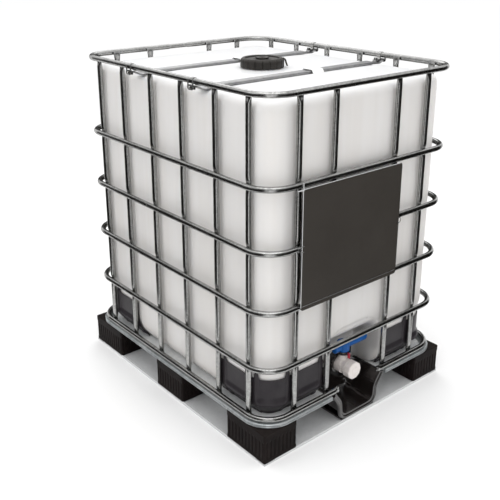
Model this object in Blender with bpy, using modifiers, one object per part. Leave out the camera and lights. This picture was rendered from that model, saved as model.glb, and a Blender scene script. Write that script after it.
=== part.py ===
"""Intermediate bulk container: a blow-moulded bottle in a welded tube cage, on a steel deck with
plastic feet, with a screw cap, a butterfly outlet valve and a valve guard.

Metres, +Z up. The origin is on the floor under the centre. The outlet faces -Y.
"""

import math

import bmesh
import bpy
from mathutils import Matrix, Vector

# ---------------------------------------------------------------- driving dimensions
LENGTH = 1.200  # along Y, front to back
WIDTH = 1.000  # along X
HEIGHT = 1.350  # floor to the top of the clamps, which hook over the top rail
GAP = 0.0003  # between pieces that touch

# pallet
RUNNER_THICKNESS = 0.006
RUNNER_WIDTH = 0.160
FOOT_CORNER = (0.160, 0.220)  # X, Y
FOOT_SIDE = (0.160, 0.190)
FOOT_MIDDLE = (0.160, 0.160)
FOOT_TOP = 0.1262
FOOT_ROUND = 0.008
SHEET = 0.002
PAN_RIM_HEIGHT = 0.012
PAN_RIM_CLEARANCE = 0.0045  # rim to the uprights
PAN_RADIUS = 0.115

# cage
TUBE = 0.022
HOOP_MARGIN = 0.005  # room outside the hoops for the clamps and the plate
HOOP_RADIUS = 0.105
CROSSING_DEPTH = 0.0055  # how deep a hoop and an upright press into each other
BASE_RAIL_CLEARANCE = 0.0004  # to the deck's rim
HOOP_HEIGHTS = (0.3520, 0.5758, 0.7985, 1.0246)
RAIL_OPENING = 0.220  # gap in the base rail, in front of the valve
SIDE_UPRIGHTS = (0.098, 0.297)  # +-Y of the inner ones on the long sides
SIDE_UPRIGHT_MARGIN = 0.005  # the outer one, in from the end of the hoops' straight part
END_UPRIGHT_MARGIN = 0.049  # the same on the short ends
END_UPRIGHT_CLEARANCE = 0.0025  # the inner one, beside the valve guard
TUBE_BEVEL_RESOLUTION = 2
TUBE_SIDES = 8
CORNER_STEPS = 5

# bottle
BOTTLE_CLEARANCE = 0.0007  # corner guards to the uprights
BOTTLE_RADIUS = 0.095
BOTTLE_WALL = 0.003
BOTTLE_TOP_DROP = 0.043  # below the overall height
SHOULDER = 0.040
HEEL = 0.022
NECK_RADIUS = 0.075
NECK_WALL = 0.005
NECK_HEIGHT = 0.029
NECK_FLANGE = 0.012  # the neck piece takes this much of the bottle's top around it
RECESS_WIDTH = 0.300
RECESS_HEIGHT = 0.246  # above the underside of the bottle
RECESS_DEPTH = 0.131
RECESS_ROUND = 0.090

# crossbars
BAR_OFFSET = 0.200  # +-Y
BAR_WIDTH = 0.050
BAR_HEIGHT = 0.014
BAR_GROOVE = 0.0055  # the bar sits this deep in the bottle's top
BAR_SHORT_OF_HOOP = 0.0025
CLAMP_WIDTH = 0.026
CLAMP_THICKNESS = 0.003
CLAMP_FLANGE = 0.030

# corner guards of the bottle
CORNER_GUARD = 0.003
CORNER_GUARD_TOP = 0.300
CORNER_GUARD_MARGIN = 0.020  # on the short ends it stops this far from the recess's side
CORNER_GUARD_SIDE = 0.280  # where it ends on the long sides, from the centre

# marking plate
PLATE_SIZE = (0.507, 0.447)
PLATE_CENTRE = (-0.0815, 0.7885)  # X, Z
PLATE_THICKNESS = 0.003

# filling cap
CAP_WALL = 0.0095
CAP_HEIGHT = 0.0365
CAP_ABOVE_BOTTLE = 0.0035
CAP_CLEARANCE = 0.0035
CAP_ROOF = 0.0055
PLUG_HEAD = (0.030, 0.0045)  # radius, height
PLUG_SHANK = 0.022
PLUG_DEPTH = 0.0032
SEAL_SECTION = (0.009, 0.0049)

# outlet valve
OUTLET_ABOVE_BOTTOM = 0.052  # outlet axis above the bottle's underside
BORE_RADIUS = 0.025
SPOUT_WALL = 0.006
THREAD_WALL = 0.005
VALVE_WALL = 0.008
SPOUT_INSET = 0.1325  # these insets are measured in from the front face
STEM_INSET = 0.100
VALVE_SHOULDER_INSET = 0.072
VALVE_END_INSET = 0.044
NUT_INSETS = (0.148, 0.116)
OUTLET_CAP_INSETS = (0.068, 0.032)
STEM_RADIUS = 0.006
STEM_CLEARANCE = 0.0005
STEM_BOSS = (0.015, 0.031)  # radius, height above the valve's wall
COLLAR = (0.021, 0.0015, 0.0165)  # radius, and span above the union nut's wall
DISC_THICKNESS = 0.006
NUT_WALL = 0.013
OUTLET_CAP_WALL = 0.0035
OUTLET_CAP_CLEARANCE = 0.0015
OUTLET_SEAL = 0.004
OUTLET_CAP_FACETS = 10
HANDLE_HUB_RADIUS = 0.026
HANDLE_HUB_HEIGHT = 0.040
HANDLE_HUB_CLEARANCE = 0.0015  # above the stem boss
HANDLE_ARM = (0.0155, 0.135)  # radius, reach along +X
HANDLE_STUB = (0.018, 0.056)  # radius, reach along -X

# valve guard, which is the front middle foot
GUARD_FOOT_WIDTH = 0.190
GUARD_TOP_CLEARANCE = 0.0027  # to the base rail above it
GUARD_CLEARANCE = 0.0015  # to the bottle's recess
GUARD_FRONT_INSET = 0.003
GUARD_WALL = 0.014
GUARD_FLOOR = 0.020

# ---------------------------------------------------------------- derived places
HALF_X, HALF_Y = WIDTH / 2, LENGTH / 2
TUBE_R = TUBE / 2
TOP_RAIL_Z = HEIGHT - CLAMP_THICKNESS - 2 * GAP - TUBE_R
PAN_UNDER = FOOT_TOP + GAP
PAN_FLOOR = PAN_UNDER + SHEET
PAN_RIM_TOP = PAN_FLOOR + PAN_RIM_HEIGHT
BASE_RAIL_HEIGHT = PAN_RIM_TOP + BASE_RAIL_CLEARANCE + TUBE_R
HOOP_INSET = HOOP_MARGIN + TUBE_R
HOOP_HALF = (HALF_X - HOOP_INSET, HALF_Y - HOOP_INSET)
CROSSING_OFFSET = TUBE - CROSSING_DEPTH
UPRIGHT_HALF = (HOOP_HALF[0] - CROSSING_OFFSET, HOOP_HALF[1] - CROSSING_OFFSET)
UPRIGHT_BOTTOM = PAN_FLOOR + 0.0030
UPRIGHT_TOP = TOP_RAIL_Z - TUBE_R - GAP
PAN_RIM_WIDTH = HALF_X - UPRIGHT_HALF[0] - TUBE_R - PAN_RIM_CLEARANCE

BOTTLE_BOTTOM = PAN_FLOOR + GAP
BOTTLE_TOP = HEIGHT - BOTTLE_TOP_DROP
BOTTLE_INSET = TUBE_R + BOTTLE_CLEARANCE + CORNER_GUARD + GAP
BOTTLE_HALF = (UPRIGHT_HALF[0] - BOTTLE_INSET, UPRIGHT_HALF[1] - BOTTLE_INSET)
RECESS_TOP = BOTTLE_BOTTOM + RECESS_HEIGHT
RECESS_BACK = BOTTLE_HALF[1] - RECESS_DEPTH
BAR_BOTTOM = BOTTLE_TOP - BAR_GROOVE + GAP
BAR_TOP = BAR_BOTTOM + BAR_HEIGHT
CAP_BOTTOM = BOTTLE_TOP + CAP_ABOVE_BOTTLE
CAP_RADIUS = NECK_RADIUS + CAP_CLEARANCE + CAP_WALL
NECK_TOP = BOTTLE_TOP + NECK_HEIGHT

GUARD_BACK = RECESS_BACK + GUARD_CLEARANCE
GUARD_FRONT = HALF_Y - GUARD_FRONT_INSET
GUARD_TOP = BASE_RAIL_HEIGHT - TUBE_R - GUARD_TOP_CLEARANCE
GUARD_TOP_WIDTH = RECESS_WIDTH - 2 * GUARD_CLEARANCE
CORNER_GUARD_FRONT = RECESS_WIDTH / 2 + CORNER_GUARD_MARGIN
SIDE_UPRIGHT_ENDS = (*SIDE_UPRIGHTS, HOOP_HALF[1] - HOOP_RADIUS - SIDE_UPRIGHT_MARGIN)
END_UPRIGHTS = (
    GUARD_TOP_WIDTH / 2 + TUBE_R + END_UPRIGHT_CLEARANCE,
    HOOP_HALF[0] - HOOP_RADIUS - END_UPRIGHT_MARGIN,
)

OUTLET_Z = BOTTLE_BOTTOM + OUTLET_ABOVE_BOTTOM
SPOUT_RADIUS = BORE_RADIUS + SPOUT_WALL
THREAD_RADIUS = BORE_RADIUS + THREAD_WALL
VALVE_RADIUS = BORE_RADIUS + VALVE_WALL
NUT_RADIUS = VALVE_RADIUS + NUT_WALL
SPOUT_END = HALF_Y - SPOUT_INSET
STEM_Y = HALF_Y - STEM_INSET
VALVE_SHOULDER = HALF_Y - VALVE_SHOULDER_INSET
VALVE_END = HALF_Y - VALVE_END_INSET
STEM_TOP = VALVE_RADIUS + STEM_BOSS[1]
HANDLE_HUB_BOTTOM = STEM_TOP + HANDLE_HUB_CLEARANCE
OUTLET_CAP_BORE = THREAD_RADIUS + OUTLET_CAP_CLEARANCE
# the facetted outside keeps the full wall over its flats
OUTLET_CAP_RADIUS = (OUTLET_CAP_BORE + OUTLET_CAP_WALL) / math.cos(math.pi / OUTLET_CAP_FACETS)
# a cutter with TUBE_SIDES flats that clears a round tube by GAP
NOTCH_RADIUS = (TUBE_R + GAP) / math.cos(math.pi / TUBE_SIDES)


# ---------------------------------------------------------------- scene and materials
def clear_scene():
    for obj in list(bpy.data.objects):
        bpy.data.objects.remove(obj, do_unlink=True)


def new_collection(name):
    collection = bpy.data.collections.new(name)
    bpy.context.scene.collection.children.link(collection)
    return collection


def new_material(name, colour, roughness, metallic=0.0):
    material = bpy.data.materials.new(name)
    material.use_nodes = True
    shader = material.node_tree.nodes["Principled BSDF"]
    shader.inputs["Base Color"].default_value = (*colour, 1.0)
    shader.inputs["Roughness"].default_value = roughness
    shader.inputs["Metallic"].default_value = metallic
    return material


clear_scene()
PARTS = new_collection("Intermediate bulk container")
CUTTERS = new_collection("Cutters")
STEEL = new_material("galvanised_steel", (0.56, 0.58, 0.60), 0.35, 0.9)
HDPE = new_material("natural_hdpe", (0.86, 0.86, 0.83), 0.40)
BLACK = new_material("black_plastic", (0.025, 0.023, 0.023), 0.35)
WHITE = new_material("white_plastic", (0.85, 0.82, 0.80), 0.40)
BLUE = new_material("blue_plastic", (0.01, 0.13, 0.42), 0.40)
PLATE = new_material("plate_coating", (0.045, 0.040, 0.036), 0.50)
RUBBER = new_material("seal_rubber", (0.05, 0.05, 0.05), 0.80)


# ---------------------------------------------------------------- modelling helpers
def place(obj, material, location=(0, 0, 0), parent=None):
    """Puts a new object in the parts collection with its one material."""
    PARTS.objects.link(obj)
    obj.data.materials.append(material)
    obj.parent = parent
    obj.location = Vector(location) - (parent.location if parent else Vector())
    return obj


def as_cutter(obj):
    CUTTERS.objects.link(obj)
    obj.hide_render = True
    obj.display_type = "WIRE"
    return obj


def mesh_object(name, bm):
    bmesh.ops.recalc_face_normals(bm, faces=bm.faces)
    mesh = bpy.data.meshes.new(name)
    bm.to_mesh(mesh)
    bm.free()
    return bpy.data.objects.new(name, mesh)


def box(name, size, centre=(0, 0, 0)):
    bm = bmesh.new()
    bmesh.ops.create_cube(bm, size=1.0, matrix=Matrix.Translation(centre) @ Matrix.Diagonal((*size, 1)))
    return mesh_object(name, bm)


def cylinder(name, radius, start, end, sides=32):
    """A closed cylinder from point start to point end."""
    start, end = Vector(start), Vector(end)
    along = end - start
    turn = along.to_track_quat("Z", "Y").to_matrix().to_4x4()
    bm = bmesh.new()
    bmesh.ops.create_cone(
        bm,
        cap_ends=True,
        segments=sides,
        radius1=radius,
        radius2=radius,
        depth=along.length,
        matrix=Matrix.Translation((start + end) / 2) @ turn,
    )
    return mesh_object(name, bm)


def tapered_block(name, half_width_bottom, half_width_top, y_span, z_span):
    """A block whose width along X changes from bottom to top."""
    obj = box(name, (2, 2, 2))
    middle_y = sum(y_span) / 2
    half_y = (y_span[1] - y_span[0]) / 2
    for vertex in obj.data.vertices:
        top = vertex.co.z > 0
        vertex.co.x *= half_width_top if top else half_width_bottom
        vertex.co.y = middle_y + vertex.co.y * half_y
        vertex.co.z = z_span[1] if top else z_span[0]
    return obj


def rounded_rectangle(half_x, half_y, radius, steps=CORNER_STEPS):
    """Corner points of a rectangle with round corners, anticlockwise from +X."""
    points = []
    for quarter, (sx, sy) in enumerate(((1, 1), (-1, 1), (-1, -1), (1, -1))):
        for step in range(steps + 1):
            angle = math.radians(90 * (quarter + step / steps))
            x = sx * (half_x - radius) + radius * math.cos(angle)
            y = sy * (half_y - radius) + radius * math.sin(angle)
            points.append((x, y))
    return points


def loft(name, sections, closed=True):
    """Joins rings with equal point counts; both end rings are filled when it is closed."""
    bm = bmesh.new()
    rings = [[bm.verts.new(point) for point in section] for section in sections]
    count = len(rings[0])
    for lower, upper in zip(rings, rings[1:]):
        for i in range(count):
            j = (i + 1) % count
            bm.faces.new((lower[i], lower[j], upper[j], upper[i]))
    bm.faces.new(rings[-1])
    if closed:
        bm.faces.new(rings[0])
    return mesh_object(name, bm)


def tube(name, points, radius, cyclic=False):
    """A round bar along a polyline."""
    curve = bpy.data.curves.new(name, "CURVE")
    curve.dimensions = "3D"
    curve.bevel_depth = radius
    curve.bevel_resolution = TUBE_BEVEL_RESOLUTION
    curve.use_fill_caps = True
    spline = curve.splines.new("POLY")
    spline.points.add(len(points) - 1)
    for spline_point, point in zip(spline.points, points):
        spline_point.co = (*point, 1)
    spline.use_cyclic_u = cyclic
    return bpy.data.objects.new(name, curve)


def flat_plate(name, outlines, thickness):
    """A flat plate in the XY plane from an outer outline and any holes."""
    curve = bpy.data.curves.new(name, "CURVE")
    curve.dimensions = "2D"
    curve.fill_mode = "BOTH"
    curve.extrude = thickness / 2
    for outline in outlines:
        spline = curve.splines.new("POLY")
        spline.points.add(len(outline) - 1)
        for spline_point, point in zip(spline.points, outline):
            spline_point.co = (*point, 0, 1)
        spline.use_cyclic_u = True
    return bpy.data.objects.new(name, curve)


def turned(name, profile, steps=48):
    """Turns a profile of (radius, height) about Z; it runs down the outer side."""
    mesh = bpy.data.meshes.new(name)
    edges = [(i, i + 1) for i in range(len(profile) - 1)]
    mesh.from_pydata([(radius, 0, height) for radius, height in profile], edges, [])
    obj = bpy.data.objects.new(name, mesh)
    screw = obj.modifiers.new("Turn", "SCREW")
    screw.steps = steps
    screw.render_steps = steps
    screw.use_merge_vertices = True
    screw.merge_threshold = 0.00005
    return obj


def ring(name, inner, outer, start, end, sides=32):
    """A flat-ended ring between two points on its axis."""
    obj = cylinder(name, outer, start, end, sides)
    start, end = Vector(start), Vector(end)
    over = (end - start) * 0.5
    boolean(obj, "DIFFERENCE", as_cutter(cylinder(name + "_hole", inner, start - over, end + over, sides)))
    return obj


def boolean(obj, operation, other):
    modifier = obj.modifiers.new(operation.title(), "BOOLEAN")
    modifier.operation = operation
    modifier.object = other
    modifier.solver = "EXACT"


def solidify(obj, thickness, offset=0.0):
    modifier = obj.modifiers.new("Solidify", "SOLIDIFY")
    modifier.thickness = thickness
    modifier.offset = offset
    modifier.use_even_offset = True


def bevel(obj, width, segments=1):
    modifier = obj.modifiers.new("Bevel", "BEVEL")
    modifier.width = width
    modifier.segments = segments
    modifier.limit_method = "ANGLE"


def shade_round(obj, angle=40):
    obj.data.shade_smooth()
    obj.data.set_sharp_from_angle(angle=math.radians(angle))


# ---------------------------------------------------------------- pallet
def make_base_frame():
    """The steel skid that the feet stand on: a flat frame with a middle strip."""
    side = RUNNER_WIDTH
    window_x = (RUNNER_WIDTH / 2, HALF_X - side)
    window_y = HALF_Y - side
    outer = [(-HALF_X, -HALF_Y), (HALF_X, -HALF_Y), (HALF_X, HALF_Y), (-HALF_X, HALF_Y)]
    windows = []
    for sign in (-1, 1):
        x0, x1 = sorted((sign * window_x[0], sign * window_x[1]))
        windows.append([(x0, -window_y), (x0, window_y), (x1, window_y), (x1, -window_y)])
    frame = flat_plate("base_frame", [outer, *windows], RUNNER_THICKNESS)
    place(frame, STEEL, (0, 0, RUNNER_THICKNESS / 2))


def make_feet():
    bottom = RUNNER_THICKNESS + GAP
    height = FOOT_TOP - bottom
    corner_x = HALF_X - FOOT_CORNER[0] / 2
    corner_y = HALF_Y - FOOT_CORNER[1] / 2
    side_x = HALF_X - FOOT_SIDE[0] / 2
    back_y = HALF_Y - FOOT_MIDDLE[1] / 2
    feet = [
        ("foot_front_left", FOOT_CORNER, -corner_x, -corner_y),
        ("foot_front_right", FOOT_CORNER, corner_x, -corner_y),
        ("foot_back_left", FOOT_CORNER, -corner_x, corner_y),
        ("foot_back_right", FOOT_CORNER, corner_x, corner_y),
        ("foot_side_left", FOOT_SIDE, -side_x, 0),
        ("foot_side_right", FOOT_SIDE, side_x, 0),
        ("foot_back_middle", FOOT_MIDDLE, 0, back_y),
    ]
    for name, size, x, y in feet:
        foot = box(name, (*size, height))
        bevel(foot, FOOT_ROUND, 2)
        place(foot, BLACK, (x, y, bottom + height / 2))


def guard_cutter(name, clearance):
    """The guard's outer block, grown, to make room for it in the deck."""
    return tapered_block(
        name,
        GUARD_TOP_WIDTH / 2 + clearance,
        GUARD_TOP_WIDTH / 2 + clearance,
        (-HALF_Y - 0.05, -GUARD_BACK + clearance),
        (0.0, BASE_RAIL_HEIGHT),
    )


def make_deck_pan():
    """Pressed sheet deck: a flat floor with a raised rim that rolls down at its outer edge."""
    middle = SHEET / 2
    floor = PAN_UNDER + middle
    rim = floor + PAN_RIM_HEIGHT
    profile = (
        (middle, floor),
        (middle, rim - 0.003),
        (middle + 0.003, rim),
        (PAN_RIM_WIDTH - 0.003, rim),
        (PAN_RIM_WIDTH, rim - 0.003),
        (PAN_RIM_WIDTH + 0.002, floor),
    )
    sections = []
    for inset, z in profile:
        outline = rounded_rectangle(HALF_X - inset, HALF_Y - inset, PAN_RADIUS - inset)
        sections.append([(x, y, z) for x, y in outline])
    pan = loft("deck_pan", sections, closed=False)
    solidify(pan, SHEET)
    boolean(pan, "DIFFERENCE", as_cutter(guard_cutter("guard_room", 0.002)))
    place(pan, STEEL)


def make_valve_guard():
    """The front middle foot: a tapered scoop, open at the top and front, below the outlet."""
    bottom = RUNNER_THICKNESS + GAP
    slope = (GUARD_TOP_WIDTH - GUARD_FOOT_WIDTH) / 2 / (GUARD_TOP - bottom)
    guard = tapered_block(
        "valve_guard",
        GUARD_FOOT_WIDTH / 2,
        GUARD_TOP_WIDTH / 2,
        (-GUARD_FRONT, -GUARD_BACK),
        (bottom, GUARD_TOP),
    )
    over = 0.02
    scoop = tapered_block(
        "guard_scoop",
        GUARD_FOOT_WIDTH / 2 + slope * GUARD_FLOOR - GUARD_WALL,
        GUARD_TOP_WIDTH / 2 + slope * over - GUARD_WALL,
        (-GUARD_FRONT - over, -GUARD_BACK - GUARD_WALL),
        (bottom + GUARD_FLOOR, GUARD_TOP + over),
    )
    boolean(guard, "DIFFERENCE", as_cutter(scoop))
    place(guard, BLACK)


# ---------------------------------------------------------------- cage
def hoop_path(z):
    return [(x, y, z) for x, y in rounded_rectangle(*HOOP_HALF, HOOP_RADIUS)]


def make_hoops():
    for number, z in enumerate(HOOP_HEIGHTS, start=1):
        place(tube(f"cage_hoop_{number}", hoop_path(0), TUBE_R, cyclic=True), STEEL, (0, 0, z))
    place(tube("top_rail", hoop_path(0), TUBE_R, cyclic=True), STEEL, (0, 0, TOP_RAIL_Z))


def make_base_rail():
    """The lowest hoop, which stops on each side of the outlet."""
    half_x, half_y = HOOP_HALF
    loop = rounded_rectangle(half_x, half_y, HOOP_RADIUS)
    # start at the front, right of the outlet, and go round to its left
    front_right = [p for p in loop if p[1] < 0 and p[0] > 0]
    rest = [p for p in loop if p not in front_right]
    points = [(RAIL_OPENING / 2, -half_y), *front_right, *rest, (-RAIL_OPENING / 2, -half_y)]
    place(tube("base_rail", [(x, y, 0) for x, y in points], TUBE_R), STEEL, (0, 0, BASE_RAIL_HEIGHT))


def notch_cutter(name, centre, along_y):
    """Cylinders where the hoops cross one upright; the hoops' shape plus the gap."""
    reach = 0.03
    bm = bmesh.new()
    turn = Matrix.Rotation(math.radians(90), 4, "X" if along_y else "Y")
    for z in (BASE_RAIL_HEIGHT, *HOOP_HEIGHTS):
        bmesh.ops.create_cone(
            bm,
            cap_ends=True,
            segments=TUBE_SIDES,
            radius1=NOTCH_RADIUS,
            radius2=NOTCH_RADIUS,
            depth=2 * reach,
            matrix=Matrix.Translation((*centre, z)) @ turn,
        )
    return as_cutter(mesh_object(name, bm))


def make_upright(name, x, y, hoop_x, hoop_y, along_y):
    upright = cylinder(name, TUBE_R, (0, 0, UPRIGHT_BOTTOM), (0, 0, UPRIGHT_TOP), TUBE_SIDES)
    boolean(upright, "DIFFERENCE", notch_cutter(name + "_notches", (hoop_x, hoop_y), along_y))
    place(upright, STEEL, (x, y, 0))


def make_uprights():
    for side, sign in (("left", -1), ("right", 1)):
        offsets = sorted([*SIDE_UPRIGHT_ENDS, *(-y for y in SIDE_UPRIGHT_ENDS)])
        for number, y in enumerate(offsets, start=1):
            x = sign * UPRIGHT_HALF[0]
            make_upright(f"upright_{side}_{number}", x, y, sign * HOOP_HALF[0], y, True)
    for side, sign in (("front", -1), ("back", 1)):
        offsets = sorted([*END_UPRIGHTS, *(-x for x in END_UPRIGHTS)])
        for number, x in enumerate(offsets, start=1):
            y = sign * UPRIGHT_HALF[1]
            make_upright(f"upright_{side}_{number}", x, y, x, sign * HOOP_HALF[1], False)


# ---------------------------------------------------------------- bottle
def bottle_solid(name, inset):
    """The bottle's body: round-cornered sections from heel to shoulder."""
    bottom, top = BOTTLE_BOTTOM + inset, BOTTLE_TOP - inset
    heel, shoulder = HEEL - inset / 2, SHOULDER - inset / 2
    levels = []
    for step in (0, 1, 2):
        angle = math.radians(45 * step)
        levels.append((heel * (1 - math.sin(angle)), bottom + heel * (1 - math.cos(angle))))
    for step in (0, 1, 2, 3):
        angle = math.radians(30 * step)
        levels.append((shoulder * (1 - math.cos(angle)), top - shoulder * (1 - math.sin(angle))))
    sections = []
    for pull, z in levels:
        total = inset + pull
        outline = rounded_rectangle(
            BOTTLE_HALF[0] - total, BOTTLE_HALF[1] - total, max(BOTTLE_RADIUS - total, 0.030)
        )
        sections.append([(x, y, z) for x, y in outline])
    return loft(name, sections)


def recess_block(name, grow):
    """The space for the valve: an upright slot with round upper corners."""
    half = RECESS_WIDTH / 2 + grow
    top = RECESS_TOP + grow
    radius = RECESS_ROUND + grow
    outline = [(half, 0.0)]
    for side in (1, -1):
        for step in range(5):
            turn = step / 4 if side > 0 else 1 - step / 4
            angle = math.radians(90 * turn)
            outline.append(
                (side * (half - radius + radius * math.cos(angle)), top - radius + radius * math.sin(angle))
            )
    outline.append((-half, 0.0))
    front, back = -HALF_Y, -RECESS_BACK + grow
    return loft(name, [[(x, y, z) for x, z in outline] for y in (front, back)])


def bar_groove(name, y, grow):
    depth = BAR_GROOVE + grow
    size = (WIDTH, BAR_WIDTH + 4 * GAP + 2 * grow, 2 * depth)
    return box(name, size, (0, y, BOTTLE_TOP))


def split_off(obj, name, region, wider_region):
    """Makes a region of an object into a piece of its own, with a gap round it."""
    piece = obj.copy()
    piece.name = name
    piece.data = obj.data.copy()
    boolean(piece, "INTERSECT", as_cutter(region))
    boolean(obj, "DIFFERENCE", as_cutter(wider_region))
    return piece


def make_bottle():
    """The bottle in three pieces: its body, its neck and the liner of the valve recess."""
    bottle = bottle_solid("bottle", 0.0)
    hollow = bottle_solid("bottle_hollow", BOTTLE_WALL)
    boolean(bottle, "DIFFERENCE", as_cutter(recess_block("recess", 0.0)))
    boolean(hollow, "DIFFERENCE", as_cutter(recess_block("recess_wall", BOTTLE_WALL)))
    for side, y in (("front", -BAR_OFFSET), ("back", BAR_OFFSET)):
        boolean(bottle, "DIFFERENCE", as_cutter(bar_groove("groove_" + side, y, 0.0)))
        boolean(hollow, "DIFFERENCE", as_cutter(bar_groove("groove_wall_" + side, y, BOTTLE_WALL)))
    neck = cylinder("neck", NECK_RADIUS, (0, 0, BOTTLE_TOP - BOTTLE_WALL / 2), (0, 0, NECK_TOP), 40)
    boolean(bottle, "UNION", as_cutter(neck))
    recess_y = -RECESS_BACK
    spout = cylinder(
        "spout", SPOUT_RADIUS, (0, recess_y + BOTTLE_WALL / 2, OUTLET_Z), (0, -SPOUT_END, OUTLET_Z)
    )
    boolean(bottle, "UNION", as_cutter(spout))
    boolean(bottle, "DIFFERENCE", as_cutter(hollow))
    mouth = cylinder(
        "mouth", NECK_RADIUS - NECK_WALL, (0, 0, BOTTLE_TOP - 0.03), (0, 0, NECK_TOP + 0.03), 40
    )
    boolean(bottle, "DIFFERENCE", as_cutter(mouth))
    drain = cylinder(
        "drain", BORE_RADIUS, (0, recess_y + 0.03, OUTLET_Z), (0, -SPOUT_END - 0.03, OUTLET_Z)
    )
    boolean(bottle, "DIFFERENCE", as_cutter(drain))
    flange = NECK_RADIUS + NECK_FLANGE
    span = ((0, 0, BOTTLE_TOP - 0.02), (0, 0, NECK_TOP + 0.02))
    region = cylinder("neck_region", flange, *span, 40)
    wider = cylinder("neck_region_wide", flange + 2 * GAP, *span, 40)
    neck_piece = split_off(bottle, "bottle_neck", region, wider)
    region = recess_block("liner_region", BOTTLE_WALL + 2 * GAP)
    wider = recess_block("liner_region_wide", BOTTLE_WALL + 3 * GAP)
    recess_piece = split_off(bottle, "bottle_recess", region, wider)
    for obj in (bottle, neck_piece, recess_piece):
        place(obj, HDPE)


def make_corner_guards():
    """Plastic sheets round the bottle's lower corners, between bottle and uprights."""
    middle = CORNER_GUARD / 2 + GAP
    half_x, half_y = BOTTLE_HALF[0] + middle, BOTTLE_HALF[1] + middle
    radius = BOTTLE_RADIUS + middle
    corner = rounded_rectangle(half_x, half_y, radius)[: CORNER_STEPS + 1]
    path = [(half_x, CORNER_GUARD_SIDE), *corner, (CORNER_GUARD_FRONT, half_y)]
    bottom = BOTTLE_BOTTOM + HEEL
    for end, sy in (("front", -1), ("back", 1)):
        for side, sx in (("left", -1), ("right", 1)):
            bm = bmesh.new()
            lower = [bm.verts.new((sx * x, sy * y, bottom)) for x, y in path]
            upper = [bm.verts.new((sx * x, sy * y, CORNER_GUARD_TOP)) for x, y in path]
            for i in range(len(path) - 1):
                bm.faces.new((lower[i], lower[i + 1], upper[i + 1], upper[i]))
            guard = mesh_object(f"corner_guard_{end}_{side}", bm)
            solidify(guard, CORNER_GUARD)
            place(guard, BLACK)


# ---------------------------------------------------------------- crossbars, clamps, plate
def make_crossbars():
    half = HOOP_HALF[0] + TUBE_R - BAR_SHORT_OF_HOOP
    for side, y in (("front", -BAR_OFFSET), ("back", BAR_OFFSET)):
        bar = box("crossbar_" + side, (2 * half, BAR_WIDTH, BAR_HEIGHT))
        hollow = box("hollow_" + side, (2.4 * half, BAR_WIDTH - 2 * SHEET, BAR_HEIGHT))
        hollow.location = (0, y, BAR_BOTTOM + BAR_HEIGHT / 2 - SHEET)
        boolean(bar, "DIFFERENCE", as_cutter(hollow))
        place(bar, STEEL, (0, y, BAR_BOTTOM + BAR_HEIGHT / 2))


def clamp_outline():
    """Section of a clamp at +X: a flange on the bar, up and over the rail, and down outside."""
    inner = TUBE_R + 2 * GAP
    outer = inner + CLAMP_THICKNESS
    rail_x = HOOP_HALF[0]
    flange_z = BAR_TOP + GAP
    arc = [math.radians(180 - 22.5 * step) for step in range(9)]
    points = [(rail_x - outer - CLAMP_FLANGE, flange_z)]
    points.append((rail_x - inner, flange_z))
    # the inside of the strap, round the rail
    grown = inner / math.cos(math.pi / 16)
    points += [(rail_x + grown * math.cos(a), TOP_RAIL_Z + grown * math.sin(a)) for a in arc]
    points.append((rail_x + grown, TOP_RAIL_Z - TUBE))
    points.append((rail_x + outer, TOP_RAIL_Z - TUBE))
    points += [(rail_x + outer * math.cos(a), TOP_RAIL_Z + outer * math.sin(a)) for a in reversed(arc)]
    points.append((rail_x - outer, flange_z + CLAMP_THICKNESS))
    points.append((rail_x - outer - CLAMP_FLANGE, flange_z + CLAMP_THICKNESS))
    return points


def make_clamps():
    outline = clamp_outline()
    for end, y in (("front", -BAR_OFFSET), ("back", BAR_OFFSET)):
        for side, sx in (("left", -1), ("right", 1)):
            near, far = y - CLAMP_WIDTH / 2, y + CLAMP_WIDTH / 2
            clamp = loft(
                f"bar_clamp_{end}_{side}",
                [[(sx * x, at, z) for x, z in outline] for at in (near, far)],
            )
            place(clamp, STEEL)


def make_plate():
    y = -(HOOP_HALF[1] + TUBE_R + GAP + PLATE_THICKNESS / 2)
    plate = box("marking_plate", (PLATE_SIZE[0], PLATE_THICKNESS, PLATE_SIZE[1]))
    place(plate, PLATE, (PLATE_CENTRE[0], y, PLATE_CENTRE[1]))


# ---------------------------------------------------------------- filling cap
def make_filling_cap():
    axis = bpy.data.objects.new("cap_axis", None)
    PARTS.objects.link(axis)
    axis.location = (0, 0, CAP_BOTTOM)
    roof = CAP_HEIGHT - CAP_ROOF
    bore = NECK_RADIUS + CAP_CLEARANCE
    hole = PLUG_SHANK + GAP
    profile = [
        (hole, CAP_HEIGHT - 0.003),
        (CAP_RADIUS - 0.016, CAP_HEIGHT - 0.003),
        (CAP_RADIUS - 0.013, CAP_HEIGHT),
        (CAP_RADIUS - 0.004, CAP_HEIGHT),
        (CAP_RADIUS, CAP_HEIGHT - 0.005),
        (CAP_RADIUS, 0),
        (bore, 0),
        (bore, roof),
        (hole, roof),
        (hole, CAP_HEIGHT - 0.003),
    ]
    cap = turned("filling_cap", profile)
    place(cap, BLACK, axis.location, axis)
    head, thick = PLUG_HEAD
    seat = CAP_HEIGHT - 0.003 + GAP
    plug_profile = [
        (0, seat + thick),
        (head - 0.0015, seat + thick),
        (head, seat + thick - 0.0015),
        (head, seat),
        (PLUG_SHANK, seat),
        (PLUG_SHANK, seat - PLUG_DEPTH),
        (0, seat - PLUG_DEPTH),
    ]
    place(turned("vent_plug", plug_profile, 32), BLACK, axis.location, axis)
    width, thickness = SEAL_SECTION
    bottom = NECK_TOP - CAP_BOTTOM + GAP
    top = min(bottom + thickness, roof - GAP)
    seal = ring("cap_seal", NECK_RADIUS - width, NECK_RADIUS, (0, 0, bottom), (0, 0, top), 40)
    bpy.data.objects["cap_seal_hole"].location = axis.location
    place(seal, RUBBER, axis.location, axis)


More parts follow.
